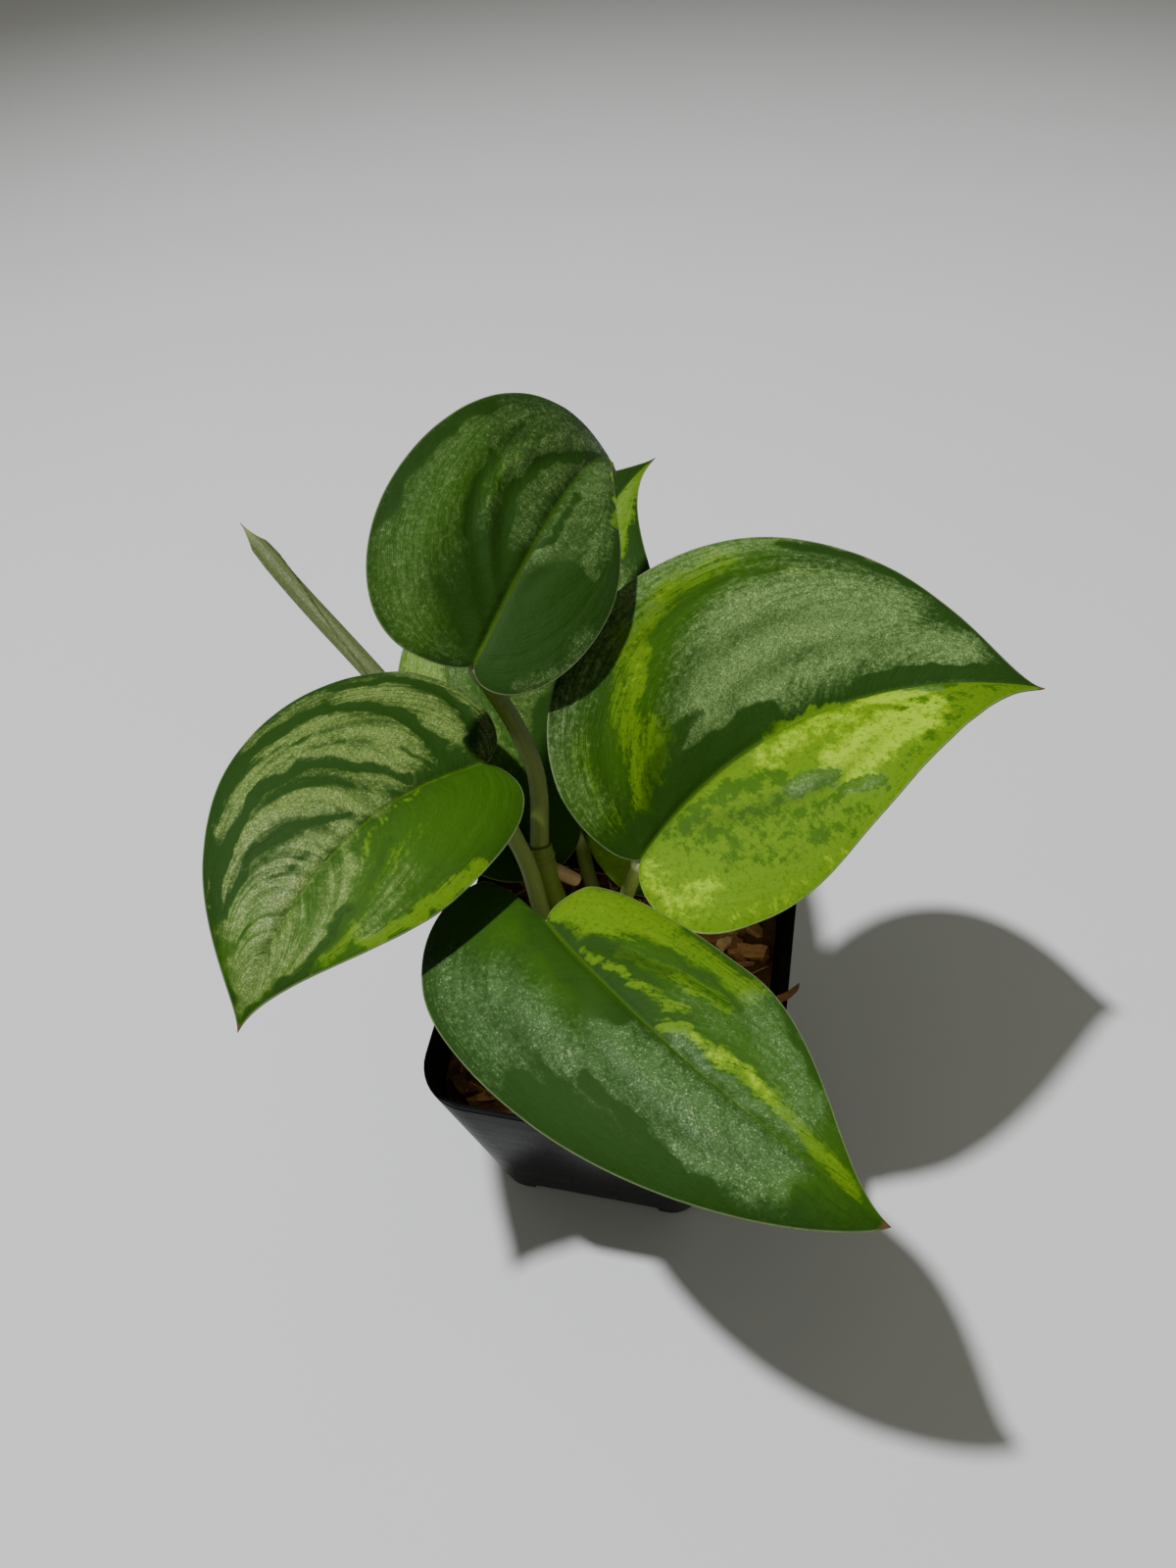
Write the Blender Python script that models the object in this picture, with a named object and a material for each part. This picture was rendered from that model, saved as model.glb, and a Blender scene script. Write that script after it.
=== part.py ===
"""Satin pothos in a square nursery pot.

Five heart-shaped leaves and one still rolled leaf on their stalks, the short
climbing stem that carries them, the bark mix it is rooted in, and the pot.
The pot stands on z = 0 with its sides along X and Y. The middle of its
underside is the origin.
"""
import math
import random
from dataclasses import dataclass

import bmesh
import bpy
import numpy as np
from mathutils import Matrix, Vector

# All driving dimensions below are in millimetres and degrees
MM = 0.001
GAP = 0.3

# Pot
POT_HEIGHT = 75.0
RIM_HALF = 40.0
RIM_CORNER_RADIUS = 11.0
FOOT_HALF = 27.5
FOOT_CORNER_RADIUS = 8.0
POT_WALL = 1.5
POT_FLOOR = 1.6
CORNER_SEGMENTS = 6
NOTCH_WIDTH = 34.0
NOTCH_DEPTH = 9.0
NOTCH_HEIGHT = 3.5
DRAIN_DIAMETER = 6.0
DRAIN_INSET = 4.8
DRAIN_SIDES = 12
CUTTER_OVERRUN = 2.0

# Growing mix
MIX_TOP = 64.0
CHIP_COUNT = 84
CHIP_LENGTH = (7.0, 15.0)
CHIP_WIDTH = (3.0, 5.5)
CHIP_THICKNESS = (2.0, 3.4)
CHIP_TOP_LIMIT = 71.0
CHIP_SINK = 1.0
CHIP_SLOPE = 0.4
CHIP_SEED = 23

# Blades and stalks
BLADE_THICKNESS = 0.8
BLADE_ROWS = 15
BLADE_COLUMNS = 5
MIDRIB_STATIONS = 40
STALK_SIDES = 10
STEM_SIDES = 12
ROUTE_SPANS = 4
HOLE_SPANS = 3

LEFT, RIGHT = 0, 1


@dataclass
class Blade:
    """One leaf blade. Pairs give the left and the right half, seen from above with the tip ahead."""
    length: float
    half_width: tuple
    widest_at: tuple
    lobe_depth: tuple
    lobe_centre: tuple
    shoulder: tuple
    tip_reach: tuple
    tip_flare: tuple
    base: tuple
    heading: float
    rise: float
    droop: float
    tip_curl: float
    swerve: float
    fold: float
    arch: tuple
    roll: float
    twist: float


BLADES = {
    "top": Blade(
        length=90.0, half_width=(32.0, 21.0), widest_at=(25.5, 23.5), lobe_depth=(4.0, 4.0),
        lobe_centre=(0.39, 0.26), shoulder=(0.55, 0.29), tip_reach=(0.16, 0.47), tip_flare=(0.09, 0.03),
        base=(-36.0, 24.0, 149.0), heading=74.5, rise=25.5, droop=35.0, tip_curl=60.0, swerve=8.0,
        fold=16.0, arch=(18.0, 34.0), roll=22.5, twist=9.0),
    "left": Blade(
        length=81.0, half_width=(27.5, 41.5), widest_at=(32.5, 17.0), lobe_depth=(3.5, 9.5),
        lobe_centre=(0.28, 0.40), shoulder=(0.54, 0.43), tip_reach=(0.21, 0.18), tip_flare=(0.07, 0.08),
        base=(-35.0, 20.5, 121.5), heading=-135.5, rise=20.5, droop=51.0, tip_curl=-2.0, swerve=42.0,
        fold=10.0, arch=(24.0, 24.0), roll=-0.5, twist=1.0),
    "right": Blade(
        length=104.5, half_width=(45.5, 33.0), widest_at=(46.0, 27.0), lobe_depth=(3.0, 8.5),
        lobe_centre=(0.20, 0.39), shoulder=(0.53, 0.67), tip_reach=(0.24, 0.13), tip_flare=(0.07, 0.09),
        base=(3.0, 4.0, 117.5), heading=66.0, rise=17.5, droop=19.0, tip_curl=1.0, swerve=-66.0,
        fold=24.0, arch=(19.0, 19.0), roll=21.0, twist=-28.5),
    "front": Blade(
        length=88.0, half_width=(22.0, 30.0), widest_at=(38.0, 9.5), lobe_depth=(3.5, 18.5),
        lobe_centre=(0.49, 0.20), shoulder=(0.48, 0.56), tip_reach=(0.28, 0.03), tip_flare=(0.07, 0.15),
        base=(-13.5, -14.5, 117.0), heading=-47.5, rise=14.5, droop=20.0, tip_curl=9.0, swerve=23.5,
        fold=11.0, arch=(33.0, 33.0), roll=-2.5, twist=15.0),
    "back": Blade(
        length=118.0, half_width=(42.0, 31.5), widest_at=(35.5, 28.5), lobe_depth=(9.5, 20.5),
        lobe_centre=(0.40, 0.43), shoulder=(0.45, 0.44), tip_reach=(0.27, 0.28), tip_flare=(0.08, 0.05),
        base=(-15.5, 32.0, 87.0), heading=117.5, rise=31.0, droop=23.5, tip_curl=9.0, swerve=-54.5,
        fold=12.5, arch=(26.5, 29.0), roll=5.0, twist=1.0),
}

# Stem route from its buried end to the upper node
STEM_ROUTE = [(-7.2, 7.9, 50.0), (-9.6, 9.3, 62.0), (-11.6, 10.1, 70.0), (-16.3, 10.8, 80.0),
              (-19.4, 13.6, 87.0), (-22.2, 17.2, 94.0), (-22.9, 18.6, 96.5)]
STEM_RADII = [2.9, 2.9, 2.9, 3.2, 2.8, 3.3, 3.0]
LOWER_NODE, UPPER_NODE = 3, 5
ROOT_NUB_LENGTH = 6.5
ROOT_NUB_DROP = 3.5
ROOT_NUB_RADIUS = 1.7
ROOT_NUB_HEADING = (0.93, -0.10, -0.20)

# Stalk routes; the last point is left out, because each ends under its blade
STALK_RADII = {"top": (2.3, 1.9), "left": (2.2, 1.8), "right": (1.9, 1.7), "front": (1.9, 1.7),
               "back": (2.0, 1.8)}
STALK_ROUTES = {
    "top": [(-23.3, 21.5, 101.5), (-23.9, 24.6, 108.0), (-25.6, 27.2, 116.0), (-30.0, 28.8, 127.5),
            (-34.6, 28.2, 139.0)],
    "left": [(-18.7, 4.7, 82.0), (-20.1, 6.3, 88.0), (-23.6, 10.8, 98.0), (-27.9, 13.8, 107.0),
             (-32.9, 18.0, 115.2)],
    "right": [(-5.3, 14.9, 50.0), (-4.2, 14.5, 62.0), (-3.4, 14.1, 70.0), (-1.6, 12.8, 85.0),
              (0.6, 9.6, 101.0), (2.1, 6.4, 111.5)],
    "front": [(-1.0, 3.5, 50.0), (-2.2, 2.0, 62.0), (-3.2, 0.4, 70.0), (-6.2, -5.0, 88.0),
              (-11.0, -12.4, 106.0)],
    "back": [(-6.6, 20.0, 50.0), (-8.2, 21.4, 62.0), (-9.8, 23.2, 69.0), (-14.0, 29.6, 77.0)],
}
RADIAL_START = {"left": (LOWER_NODE, (-0.42, -0.90, 0.08)), "rolled": (UPPER_NODE, (-0.86, 0.50, -0.04))}
ROLLED_ROUTE = [(-28.4, 20.4, 92.2), (-34.5, 24.6, 97.0), (-48.0, 33.4, 106.0), (-70.5, 47.7, 117.5),
                (-92.0, 61.9, 126.6), (-109.6, 74.2, 135.0)]
ROLLED_RADII = [1.9, 1.9, 2.0, 2.1, 2.6, 2.0, 0.5]

POT_BLACK = (0.012, 0.012, 0.013)
MIX_BROWN = (0.11, 0.055, 0.028)
STEM_GREEN = (0.16, 0.20, 0.07)
STALK_GREEN = (0.24, 0.30, 0.14)
ROLLED_GREEN = (0.22, 0.27, 0.13)
BLADE_COLOURS = {"top": (0.07, 0.13, 0.04), "left": (0.13, 0.20, 0.07), "right": (0.24, 0.34, 0.05),
                 "front": (0.10, 0.20, 0.04), "back": (0.12, 0.19, 0.05)}


def material(name, colour, roughness, metallic=0.0):
    made = bpy.data.materials.new(name)
    made.use_nodes = True
    shader = made.node_tree.nodes["Principled BSDF"]
    shader.inputs["Base Color"].default_value = (*colour, 1.0)
    shader.inputs["Roughness"].default_value = roughness
    shader.inputs["Metallic"].default_value = metallic
    made.diffuse_color = (*colour, 1.0)
    return made


def add_object(name, vertices, faces, finish=None, smooth=False):
    """A mesh object from vertices in millimetres, with its faces turned outwards."""
    mesh = bpy.data.meshes.new(name)
    mesh.from_pydata([tuple(co * MM for co in vertex) for vertex in vertices], [], faces)
    shape = bmesh.new()
    shape.from_mesh(mesh)
    bmesh.ops.recalc_face_normals(shape, faces=shape.faces)
    shape.to_mesh(mesh)
    shape.free()
    if smooth:
        mesh.shade_smooth()
        mesh.set_sharp_from_angle(angle=math.radians(40))
    thing = bpy.data.objects.new(name, mesh)
    bpy.context.scene.collection.objects.link(thing)
    if finish:
        mesh.materials.append(finish)
    return thing


def apply_modifiers(thing):
    """Keeps the shape that the modifiers give, as a plain mesh."""
    depsgraph = bpy.context.evaluated_depsgraph_get()
    shaped = bpy.data.meshes.new_from_object(thing.evaluated_get(depsgraph), depsgraph=depsgraph)
    thing.modifiers.clear()
    thing.data = shaped


def boolean(thing, operation, other=None, collection=None):
    """Cuts or joins with one object or a collection, applies it and removes what it used."""
    step = thing.modifiers.new(operation.lower(), "BOOLEAN")
    step.operation = operation
    if collection:
        step.operand_type = "COLLECTION"
        step.collection = collection
        used = list(collection.objects)
    else:
        step.object = other
        used = [other]
    apply_modifiers(thing)
    for piece in used:
        bpy.data.objects.remove(piece)


def keep_largest_island(thing):
    """Drops loose scraps and the skins of sealed hollows, so that one solid body is left."""
    shape = bmesh.new()
    shape.from_mesh(thing.data)
    left = set(shape.verts)
    islands = []
    while left:
        island = {left.pop()}
        front = list(island)
        while front:
            for edge in front.pop().link_edges:
                for vertex in edge.verts:
                    if vertex in left:
                        left.remove(vertex)
                        island.add(vertex)
                        front.append(vertex)
        islands.append(island)
    islands.sort(key=len)
    for island in islands[:-1]:
        bmesh.ops.delete(shape, geom=list(island), context="VERTS")
    shape.to_mesh(thing.data)
    shape.free()


# Swept and lofted shapes

def loft(rings):
    """Vertices and faces of a closed body through rings with equal point counts."""
    sides = len(rings[0])
    vertices = [point for ring in rings for point in ring]
    faces = []
    for row in range(len(rings) - 1):
        for k in range(sides):
            a = row * sides + k
            b = row * sides + (k + 1) % sides
            faces.append((a, b, b + sides, a + sides))
    faces.append(tuple(reversed(range(sides))))
    faces.append(tuple(range(len(vertices) - sides, len(vertices))))
    return vertices, faces


def smooth_route(points, spans):
    """Points on a smooth curve through the given ones, with spans steps between each two."""
    points = [Vector(p) for p in points]
    padded = [points[0] * 2 - points[1], *points, points[-1] * 2 - points[-2]]
    route = []
    for i in range(1, len(padded) - 2):
        before, start, end, after = padded[i - 1:i + 3]
        for step in range(spans):
            t = step / spans
            route.append(0.5 * ((2 * start) + (end - before) * t
                                + (2 * before - 5 * start + 4 * end - after) * t * t
                                + (3 * start - before - 3 * end + after) * t ** 3))
    route.append(points[-1])
    return route


def spread_radii(radii, count):
    """The listed radii, spread evenly over a route with count points."""
    places = np.linspace(0, len(radii) - 1, count)
    return np.interp(places, range(len(radii)), radii)


def tube(route, radii, sides, start_normal=None, end_normal=None):
    """Vertices and faces of a round bar along the route, its ends square to the given normals."""
    tangents = []
    for i in range(len(route)):
        ahead = route[min(i + 1, len(route) - 1)]
        behind = route[max(i - 1, 0)]
        tangents.append((ahead - behind).normalized())
    if start_normal is not None:
        tangents[0] = Vector(start_normal).normalized()
    if end_normal is not None:
        tangents[-1] = Vector(end_normal).normalized()
    side = tangents[0].orthogonal().normalized()
    rings = []
    for point, tangent, radius in zip(route, tangents, radii):
        side = (side - tangent * side.dot(tangent)).normalized()
        other = tangent.cross(side)
        ring = []
        for k in range(sides):
            angle = 2 * math.pi * k / sides
            ring.append(tuple(point + (side * math.cos(angle) + other * math.sin(angle)) * radius))
        rings.append(ring)
    return loft(rings)


# Leaf blades

def bezier(points, t):
    """Points of a cubic curve in the leaf's own flat plane."""
    a, b, c, d = (np.array(p) for p in points)
    t = np.asarray(t)[:, None]
    return (1 - t) ** 3 * a + 3 * (1 - t) ** 2 * t * b + 3 * (1 - t) * t ** 2 * c + t ** 3 * d


# Outline places where the inner lobe edge ends and where the half is widest, and a round curve's handle share
LOBE_END, WIDEST = 0.18, 0.45
ROUND = 0.55


def margin(blade, side, t):
    """Flat outline of one half, from the stalk (t = 0) round the lobe to the tip (t = 1)."""
    width = blade.half_width[side]
    lobe = blade.lobe_depth[side]
    centre = blade.lobe_centre[side] * width
    widest = blade.widest_at[side]
    ahead = blade.length - widest
    inner = [(0, 0), (-ROUND * lobe, 0.04 * width), (-lobe, (1 - ROUND) * centre), (-lobe, centre)]
    outer = [(-lobe, centre), (-lobe, centre + ROUND * (width - centre)),
             (widest - ROUND * (widest + lobe), width), (widest, width)]
    tip = [(widest, width), (widest + blade.shoulder[side] * ahead, width),
           (blade.length - blade.tip_reach[side] * ahead, blade.tip_flare[side] * width),
           (blade.length, 0)]
    points = np.zeros((len(t), 2))
    for curve, start, end in ((inner, 0, LOBE_END), (outer, LOBE_END, WIDEST), (tip, WIDEST, 1)):
        inside = (t >= start) & (t <= end)
        points[inside] = bezier(curve, (t[inside] - start) / (end - start))
    if side == RIGHT:
        points[:, 1] *= -1
    return points


def bent_surface(blade, x, y):
    """Flat leaf points bent to their real place: along the drooping midrib and over the arched halves."""
    rad = math.radians
    stations = np.linspace(0, blade.length, MIDRIB_STATIONS + 1)
    share = stations / blade.length
    pitch = rad(blade.rise) - rad(blade.droop) * share - rad(blade.tip_curl) * share ** 3
    turn = rad(blade.swerve) * share
    ahead = np.stack([np.cos(pitch) * np.cos(turn), np.cos(pitch) * np.sin(turn), np.sin(pitch)], -1)
    level = np.stack([-np.sin(turn), np.cos(turn), np.zeros_like(turn)], -1)
    upright = np.cross(ahead, level)
    tilt = (rad(blade.roll) + rad(blade.twist) * share)[:, None]
    across = level * np.cos(tilt) + upright * np.sin(tilt)
    normal = upright * np.cos(tilt) - level * np.sin(tilt)
    steps = (ahead[1:] + ahead[:-1]) / 2 * (blade.length / MIDRIB_STATIONS)
    midrib = np.vstack([np.zeros(3), np.cumsum(steps, 0)])

    def along(values):
        held = np.clip(x, 0, blade.length)
        return np.stack([np.interp(held, stations, values[:, k]) for k in range(3)], -1)

    reach = np.abs(y)
    arch = np.where(y > 0, rad(blade.arch[LEFT]), rad(blade.arch[RIGHT]))
    mean_width = sum(blade.half_width) / 2
    height = math.tan(rad(blade.fold)) * reach - 0.5 * arch * reach ** 2 / mean_width
    behind = np.minimum(x, 0)[..., None] * ahead[0]
    points = along(midrib) + behind + along(across) * y[..., None] + along(normal) * height[..., None]
    turn_out = np.array(Matrix.Rotation(rad(blade.heading), 3, "Z"))
    return points @ turn_out.T + np.array(blade.base)


def surface_normals(blade, x, y, step=0.4):
    fore = bent_surface(blade, x + step, y) - bent_surface(blade, x - step, y)
    port = bent_surface(blade, x, y + step) - bent_surface(blade, x, y - step)
    normals = np.cross(fore, port)
    return normals / np.linalg.norm(normals, axis=-1, keepdims=True)


def rib_start(blade, t):
    """Where on the midrib the cross line that ends at outline place t begins."""
    return blade.length * (0.12 * t + 0.88 * t ** 1.5)


def blade_grid(blade):
    """Flat points of the rows from right margin to left margin, without the stalk end and the tip."""
    t = np.concatenate([np.linspace(0, WIDEST, BLADE_ROWS // 2)[1:],
                        np.linspace(WIDEST, 1, BLADE_ROWS - BLADE_ROWS // 2 + 2)[1:-1]])
    right = margin(blade, RIGHT, t)
    left = margin(blade, LEFT, t)
    middle = np.stack([rib_start(blade, t), np.zeros_like(t)], -1)
    shares = np.linspace(0, 1, BLADE_COLUMNS + 1)
    columns = [middle + (right - middle) * s for s in shares[:0:-1]]
    columns += [middle + (left - middle) * s for s in shares]
    return np.stack(columns, 1)


def blade_object(name, blade, finish):
    """A closed leaf blade: two skins half its thickness each side of the bent surface, and the margin."""
    grid = blade_grid(blade)
    rows, columns = grid.shape[:2]
    flat = np.vstack([[(0.0, 0.0)], grid.reshape(-1, 2), [(blade.length, 0.0)]])
    middle = bent_surface(blade, flat[:, 0], flat[:, 1])
    normals = surface_normals(blade, flat[:, 0], flat[:, 1])
    offset = normals * BLADE_THICKNESS / 2
    vertices = np.vstack([middle + offset, middle - offset])
    count = len(flat)
    tip = count - 1

    def spot(row, column):
        return 1 + row * columns + column

    top = []
    for column in range(columns - 1):
        top.append((0, spot(0, column), spot(0, column + 1)))
        top.append((spot(rows - 1, column), tip, spot(rows - 1, column + 1)))
        for row in range(rows - 1):
            a, b = spot(row, column), spot(row + 1, column)
            c, d = spot(row + 1, column + 1), spot(row, column + 1)
            top += [(a, b, c), (a, c, d)]
    bottom = [(c + count, b + count, a + count) for a, b, c in top]
    outline = [0, *(spot(row, 0) for row in range(rows)), tip,
               *(spot(row, columns - 1) for row in reversed(range(rows)))]
    wall = []
    for here, there in zip(outline, outline[1:] + outline[:1]):
        wall += [(here, here + count, there + count), (here, there + count, there)]
    return add_object(name, vertices.tolist(), top + bottom + wall, finish, smooth=True)


def stalk_seat(blade):
    """The point just under the blade's base where its stalk ends, and the blade's normal there."""
    origin = np.array([0.8])
    normal = surface_normals(blade, origin, np.array([0.0]))[0]
    point = bent_surface(blade, np.array([0.0]), np.array([0.0]))[0]
    return Vector(point - normal * (BLADE_THICKNESS / 2 + GAP)), Vector(normal)


# Stem and stalks

def stem_axis(node):
    """The stem's place and direction at one of its nodes."""
    here = Vector(STEM_ROUTE[node])
    return here, (Vector(STEM_ROUTE[node + 1]) - Vector(STEM_ROUTE[node - 1])).normalized()


def radial_start(key):
    """A stalk's first point beside a stem node, and the direction in which it leaves."""
    node, towards = RADIAL_START[key]
    here, axis = stem_axis(node)
    out = Vector(towards)
    out = (out - axis * out.dot(axis)).normalized()
    return here + out * (STEM_RADII[node] + GAP), out


def stalk_object(key, blade, finish):
    seat, seat_normal = stalk_seat(blade)
    lower, upper = STALK_RADII[key]
    points = list(STALK_ROUTES[key])
    start_normal = None
    if key in RADIAL_START:
        start, start_normal = radial_start(key)
        points.insert(0, tuple(start))
    elif key == "top":
        end = Vector(STEM_ROUTE[-1])
        start_normal = (end - Vector(STEM_ROUTE[-2])).normalized()
        points.insert(0, tuple(end + start_normal * GAP))
    route = smooth_route([*points, tuple(seat)], ROUTE_SPANS)
    radii = np.linspace(lower, upper, len(route))
    vertices, faces = tube(route, radii, STALK_SIDES, start_normal, seat_normal)
    return add_object(f"stalk_{key}", vertices, faces, finish, smooth=True)


def stem_object(finish):
    route = smooth_route(STEM_ROUTE, ROUTE_SPANS)
    end_normal = Vector(STEM_ROUTE[-1]) - Vector(STEM_ROUTE[-2])
    stem = add_object("stem", *tube(route, spread_radii(STEM_RADII, len(route)), STEM_SIDES, None, end_normal),
                      finish, smooth=True)
    here, _ = stem_axis(UPPER_NODE)
    here = here - Vector((0, 0, ROOT_NUB_DROP))
    out = Vector(ROOT_NUB_HEADING).normalized()
    length = STEM_RADII[UPPER_NODE] + ROOT_NUB_LENGTH
    nub_route = [here + out * length * share for share in (0.1, 0.5, 0.85, 0.96, 1.0)]
    nub_radii = [ROOT_NUB_RADIUS * share for share in (1.1, 1.0, 0.95, 0.7, 0.3)]
    nub = add_object("root_nub", *tube(nub_route, nub_radii, STALK_SIDES))
    boolean(stem, "UNION", nub)
    return stem


def rolled_leaf_object(finish):
    start, start_normal = radial_start("rolled")
    route = smooth_route([tuple(start), *ROLLED_ROUTE], ROUTE_SPANS + 1)
    vertices, faces = tube(route, spread_radii(ROLLED_RADII, len(route)), STALK_SIDES, start_normal)
    return add_object("rolled_leaf", vertices, faces, finish, smooth=True)


# Pot and growing mix

def square_ring(half, corner_radius, z):
    """A square with rounded corners, seen from above, counter-clockwise."""
    ring = []
    for quarter in range(4):
        centre_x = (half - corner_radius) * (1 if quarter in (0, 3) else -1)
        centre_y = (half - corner_radius) * (1 if quarter in (0, 1) else -1)
        for step in range(CORNER_SEGMENTS + 1):
            angle = math.radians(90 * (quarter + step / CORNER_SEGMENTS))
            ring.append((centre_x + corner_radius * math.cos(angle),
                         centre_y + corner_radius * math.sin(angle), z))
    return ring


def taper(z, inset):
    """Half width and corner radius of the pot's outer wall at height z, moved in by inset."""
    share = z / POT_HEIGHT
    half = FOOT_HALF + (RIM_HALF - FOOT_HALF) * share - inset
    radius = FOOT_CORNER_RADIUS + (RIM_CORNER_RADIUS - FOOT_CORNER_RADIUS) * share - inset
    return half, radius


def tapered_body(name, inset, z_low, z_high, finish=None):
    rings = [square_ring(*taper(z, inset), z) for z in (z_low, z_high)]
    return add_object(name, *loft(rings), finish)


def box(name, centre, size):
    corners = [(centre[0] + sx * size[0] / 2, centre[1] + sy * size[1] / 2, centre[2] + sz * size[2] / 2)
               for sz in (-1, 1) for sx, sy in ((-1, -1), (1, -1), (1, 1), (-1, 1))]
    rings = [corners[:4], corners[4:]]
    return add_object(name, *loft(rings))


def notch_boxes(name, grow):
    """Boxes in the middle of the four bottom edges, grown by a wall where the pot's inside needs it."""
    boxes = []
    reach = 2 * NOTCH_DEPTH
    for quarter in range(4):
        angle = math.radians(90 * quarter)
        out = (math.cos(angle), math.sin(angle))
        middle = FOOT_HALF - NOTCH_DEPTH - grow + reach / 2
        wide = NOTCH_WIDTH + 2 * grow
        size = (reach, wide) if quarter % 2 == 0 else (wide, reach)
        high = NOTCH_HEIGHT + grow + CUTTER_OVERRUN
        centre = (out[0] * middle, out[1] * middle, high / 2 - CUTTER_OVERRUN)
        boxes.append(box(f"{name}_{quarter}", centre, (*size, high)))
    return boxes


def drain_cutter(heading):
    """A round cutter through the roof of the notch that lies in the given direction."""
    place = Vector((math.cos(heading), math.sin(heading), 0)) * (FOOT_HALF - DRAIN_INSET)
    low = place + Vector((0, 0, NOTCH_HEIGHT - CUTTER_OVERRUN))
    high = place + Vector((0, 0, NOTCH_HEIGHT + POT_WALL + CUTTER_OVERRUN))
    return add_object("drain", *tube([low, high], [DRAIN_DIAMETER / 2] * 2, DRAIN_SIDES))


def pot_object(finish):
    pot = tapered_body("pot", 0, 0, POT_HEIGHT, finish)
    cavity = tapered_body("cavity", POT_WALL, POT_FLOOR, POT_HEIGHT + CUTTER_OVERRUN)
    for ledge in notch_boxes("ledge", POT_WALL):
        boolean(cavity, "DIFFERENCE", ledge)
    boolean(pot, "DIFFERENCE", cavity)
    for notch in notch_boxes("notch", 0):
        boolean(pot, "DIFFERENCE", notch)
    for quarter in range(4):
        boolean(pot, "DIFFERENCE", drain_cutter(math.radians(90 * quarter)))
    return pot


def bark_chip(rng, index):
    """One wedge of bark: a skewed box with uneven ends, lying nearly flat and sunk into the mix."""
    length = rng.uniform(*CHIP_LENGTH)
    width = rng.uniform(*CHIP_WIDTH)
    thickness = rng.uniform(*CHIP_THICKNESS)
    room = taper(MIX_TOP, POT_WALL + 2 * GAP)[0]
    heading = rng.uniform(0, math.pi)
    turn = (Matrix.Rotation(heading, 3, "Z")
            @ Matrix.Rotation(rng.uniform(-CHIP_SLOPE, CHIP_SLOPE), 3, "Y")
            @ Matrix.Rotation(rng.uniform(-CHIP_SLOPE, CHIP_SLOPE), 3, "X"))
    corners = []
    for sz in (-1, 1):
        for sx, sy in ((-1, -1), (1, -1), (1, 1), (-1, 1)):
            skew = rng.uniform(0.75, 1.0)
            narrow = rng.uniform(0.55, 1.0)
            corners.append(turn @ Vector((sx * length / 2 * skew, sy * width / 2 * narrow, sz * thickness / 2)))
    reach_x = max(abs(c.x) for c in corners)
    reach_y = max(abs(c.y) for c in corners)
    high = max(c.z for c in corners)
    low = min(c.z for c in corners)
    x = rng.uniform(-1, 1) * (room - reach_x)
    y = rng.uniform(-1, 1) * (room - reach_y)
    z = MIX_TOP + rng.uniform(-0.6, 0.9)
    z = min(z, CHIP_TOP_LIMIT - high, MIX_TOP - low - CHIP_SINK)
    points = [tuple(c + Vector((x, y, z))) for c in corners]
    return add_object(f"chip_{index}", *loft([points[:4], points[4:]]))


def round_corner_room(x, y):
    """Whether a point lies inside the pot's rounded inner outline at the mix's surface."""
    half, radius = taper(MIX_TOP, POT_WALL + GAP)
    dx = abs(x) - (half - radius)
    dy = abs(y) - (half - radius)
    return not (dx > 0 and dy > 0 and math.hypot(dx, dy) > radius - GAP)


def hole_cutter(name, points, radius):
    """A round cutter that follows the buried end of a stem or stalk, with the gap all round."""
    route = smooth_route(points, ROUTE_SPANS)[:HOLE_SPANS * ROUTE_SPANS + 1]
    foot = (route[1] - route[0]).normalized() * GAP
    route = [route[0] - foot, *route[1:]]
    return add_object(name, *tube(route, [radius + GAP] * len(route), STEM_SIDES * 2))


def mix_object(finish):
    mix = tapered_body("growing_mix", POT_WALL + GAP, POT_FLOOR + GAP, MIX_TOP, finish)
    for ledge in notch_boxes("seat", POT_WALL + GAP):
        boolean(mix, "DIFFERENCE", ledge)
    rng = random.Random(CHIP_SEED)
    chips = bpy.data.collections.new("bark_chips")
    made = 0
    while made < CHIP_COUNT:
        chip = bark_chip(rng, made)
        if all(round_corner_room(v.co.x / MM, v.co.y / MM) for v in chip.data.vertices):
            bpy.context.scene.collection.objects.unlink(chip)
            chips.objects.link(chip)
            made += 1
        else:
            bpy.data.objects.remove(chip)
    bpy.context.scene.collection.children.link(chips)
    boolean(mix, "UNION", collection=chips)
    bpy.data.collections.remove(chips)
    buried = [(STEM_ROUTE, max(STEM_RADII[:3]))]
    buried += [(STALK_ROUTES[key], STALK_RADII[key][0]) for key in ("right", "front", "back")]
    for number, (points, radius) in enumerate(buried):
        boolean(mix, "DIFFERENCE", hole_cutter(f"hole_{number}", points, radius))
    keep_largest_island(mix)
    return mix


def main():
    for thing in list(bpy.data.objects):
        bpy.data.objects.remove(thing)
    pot_object(material("pot_plastic", POT_BLACK, 0.55))
    mix_object(material("bark_mix", MIX_BROWN, 0.9))
    stem_object(material("stem_skin", STEM_GREEN, 0.5))
    stalk_skin = material("stalk_skin", STALK_GREEN, 0.45)
    for key, blade in BLADES.items():
        stalk_object(key, blade, stalk_skin)
        blade_object(f"leaf_{key}", blade, material(f"leaf_{key}_skin", BLADE_COLOURS[key], 0.42))
    rolled_leaf_object(material("rolled_leaf_skin", ROLLED_GREEN, 0.5))


main()
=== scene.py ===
"""Satin pothos in a square nursery pot: every surface's finish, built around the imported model.

Each piece or group of like pieces has its own operator, and a panel in the 3D view's sidebar lists them.
The design tables are in millimetres and degrees, in the frame of the pot: it stands on z = 0 with its
sides along X and Y. The user's settings are in Blender's own units.
"""

import math
import random
from dataclasses import dataclass

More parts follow.
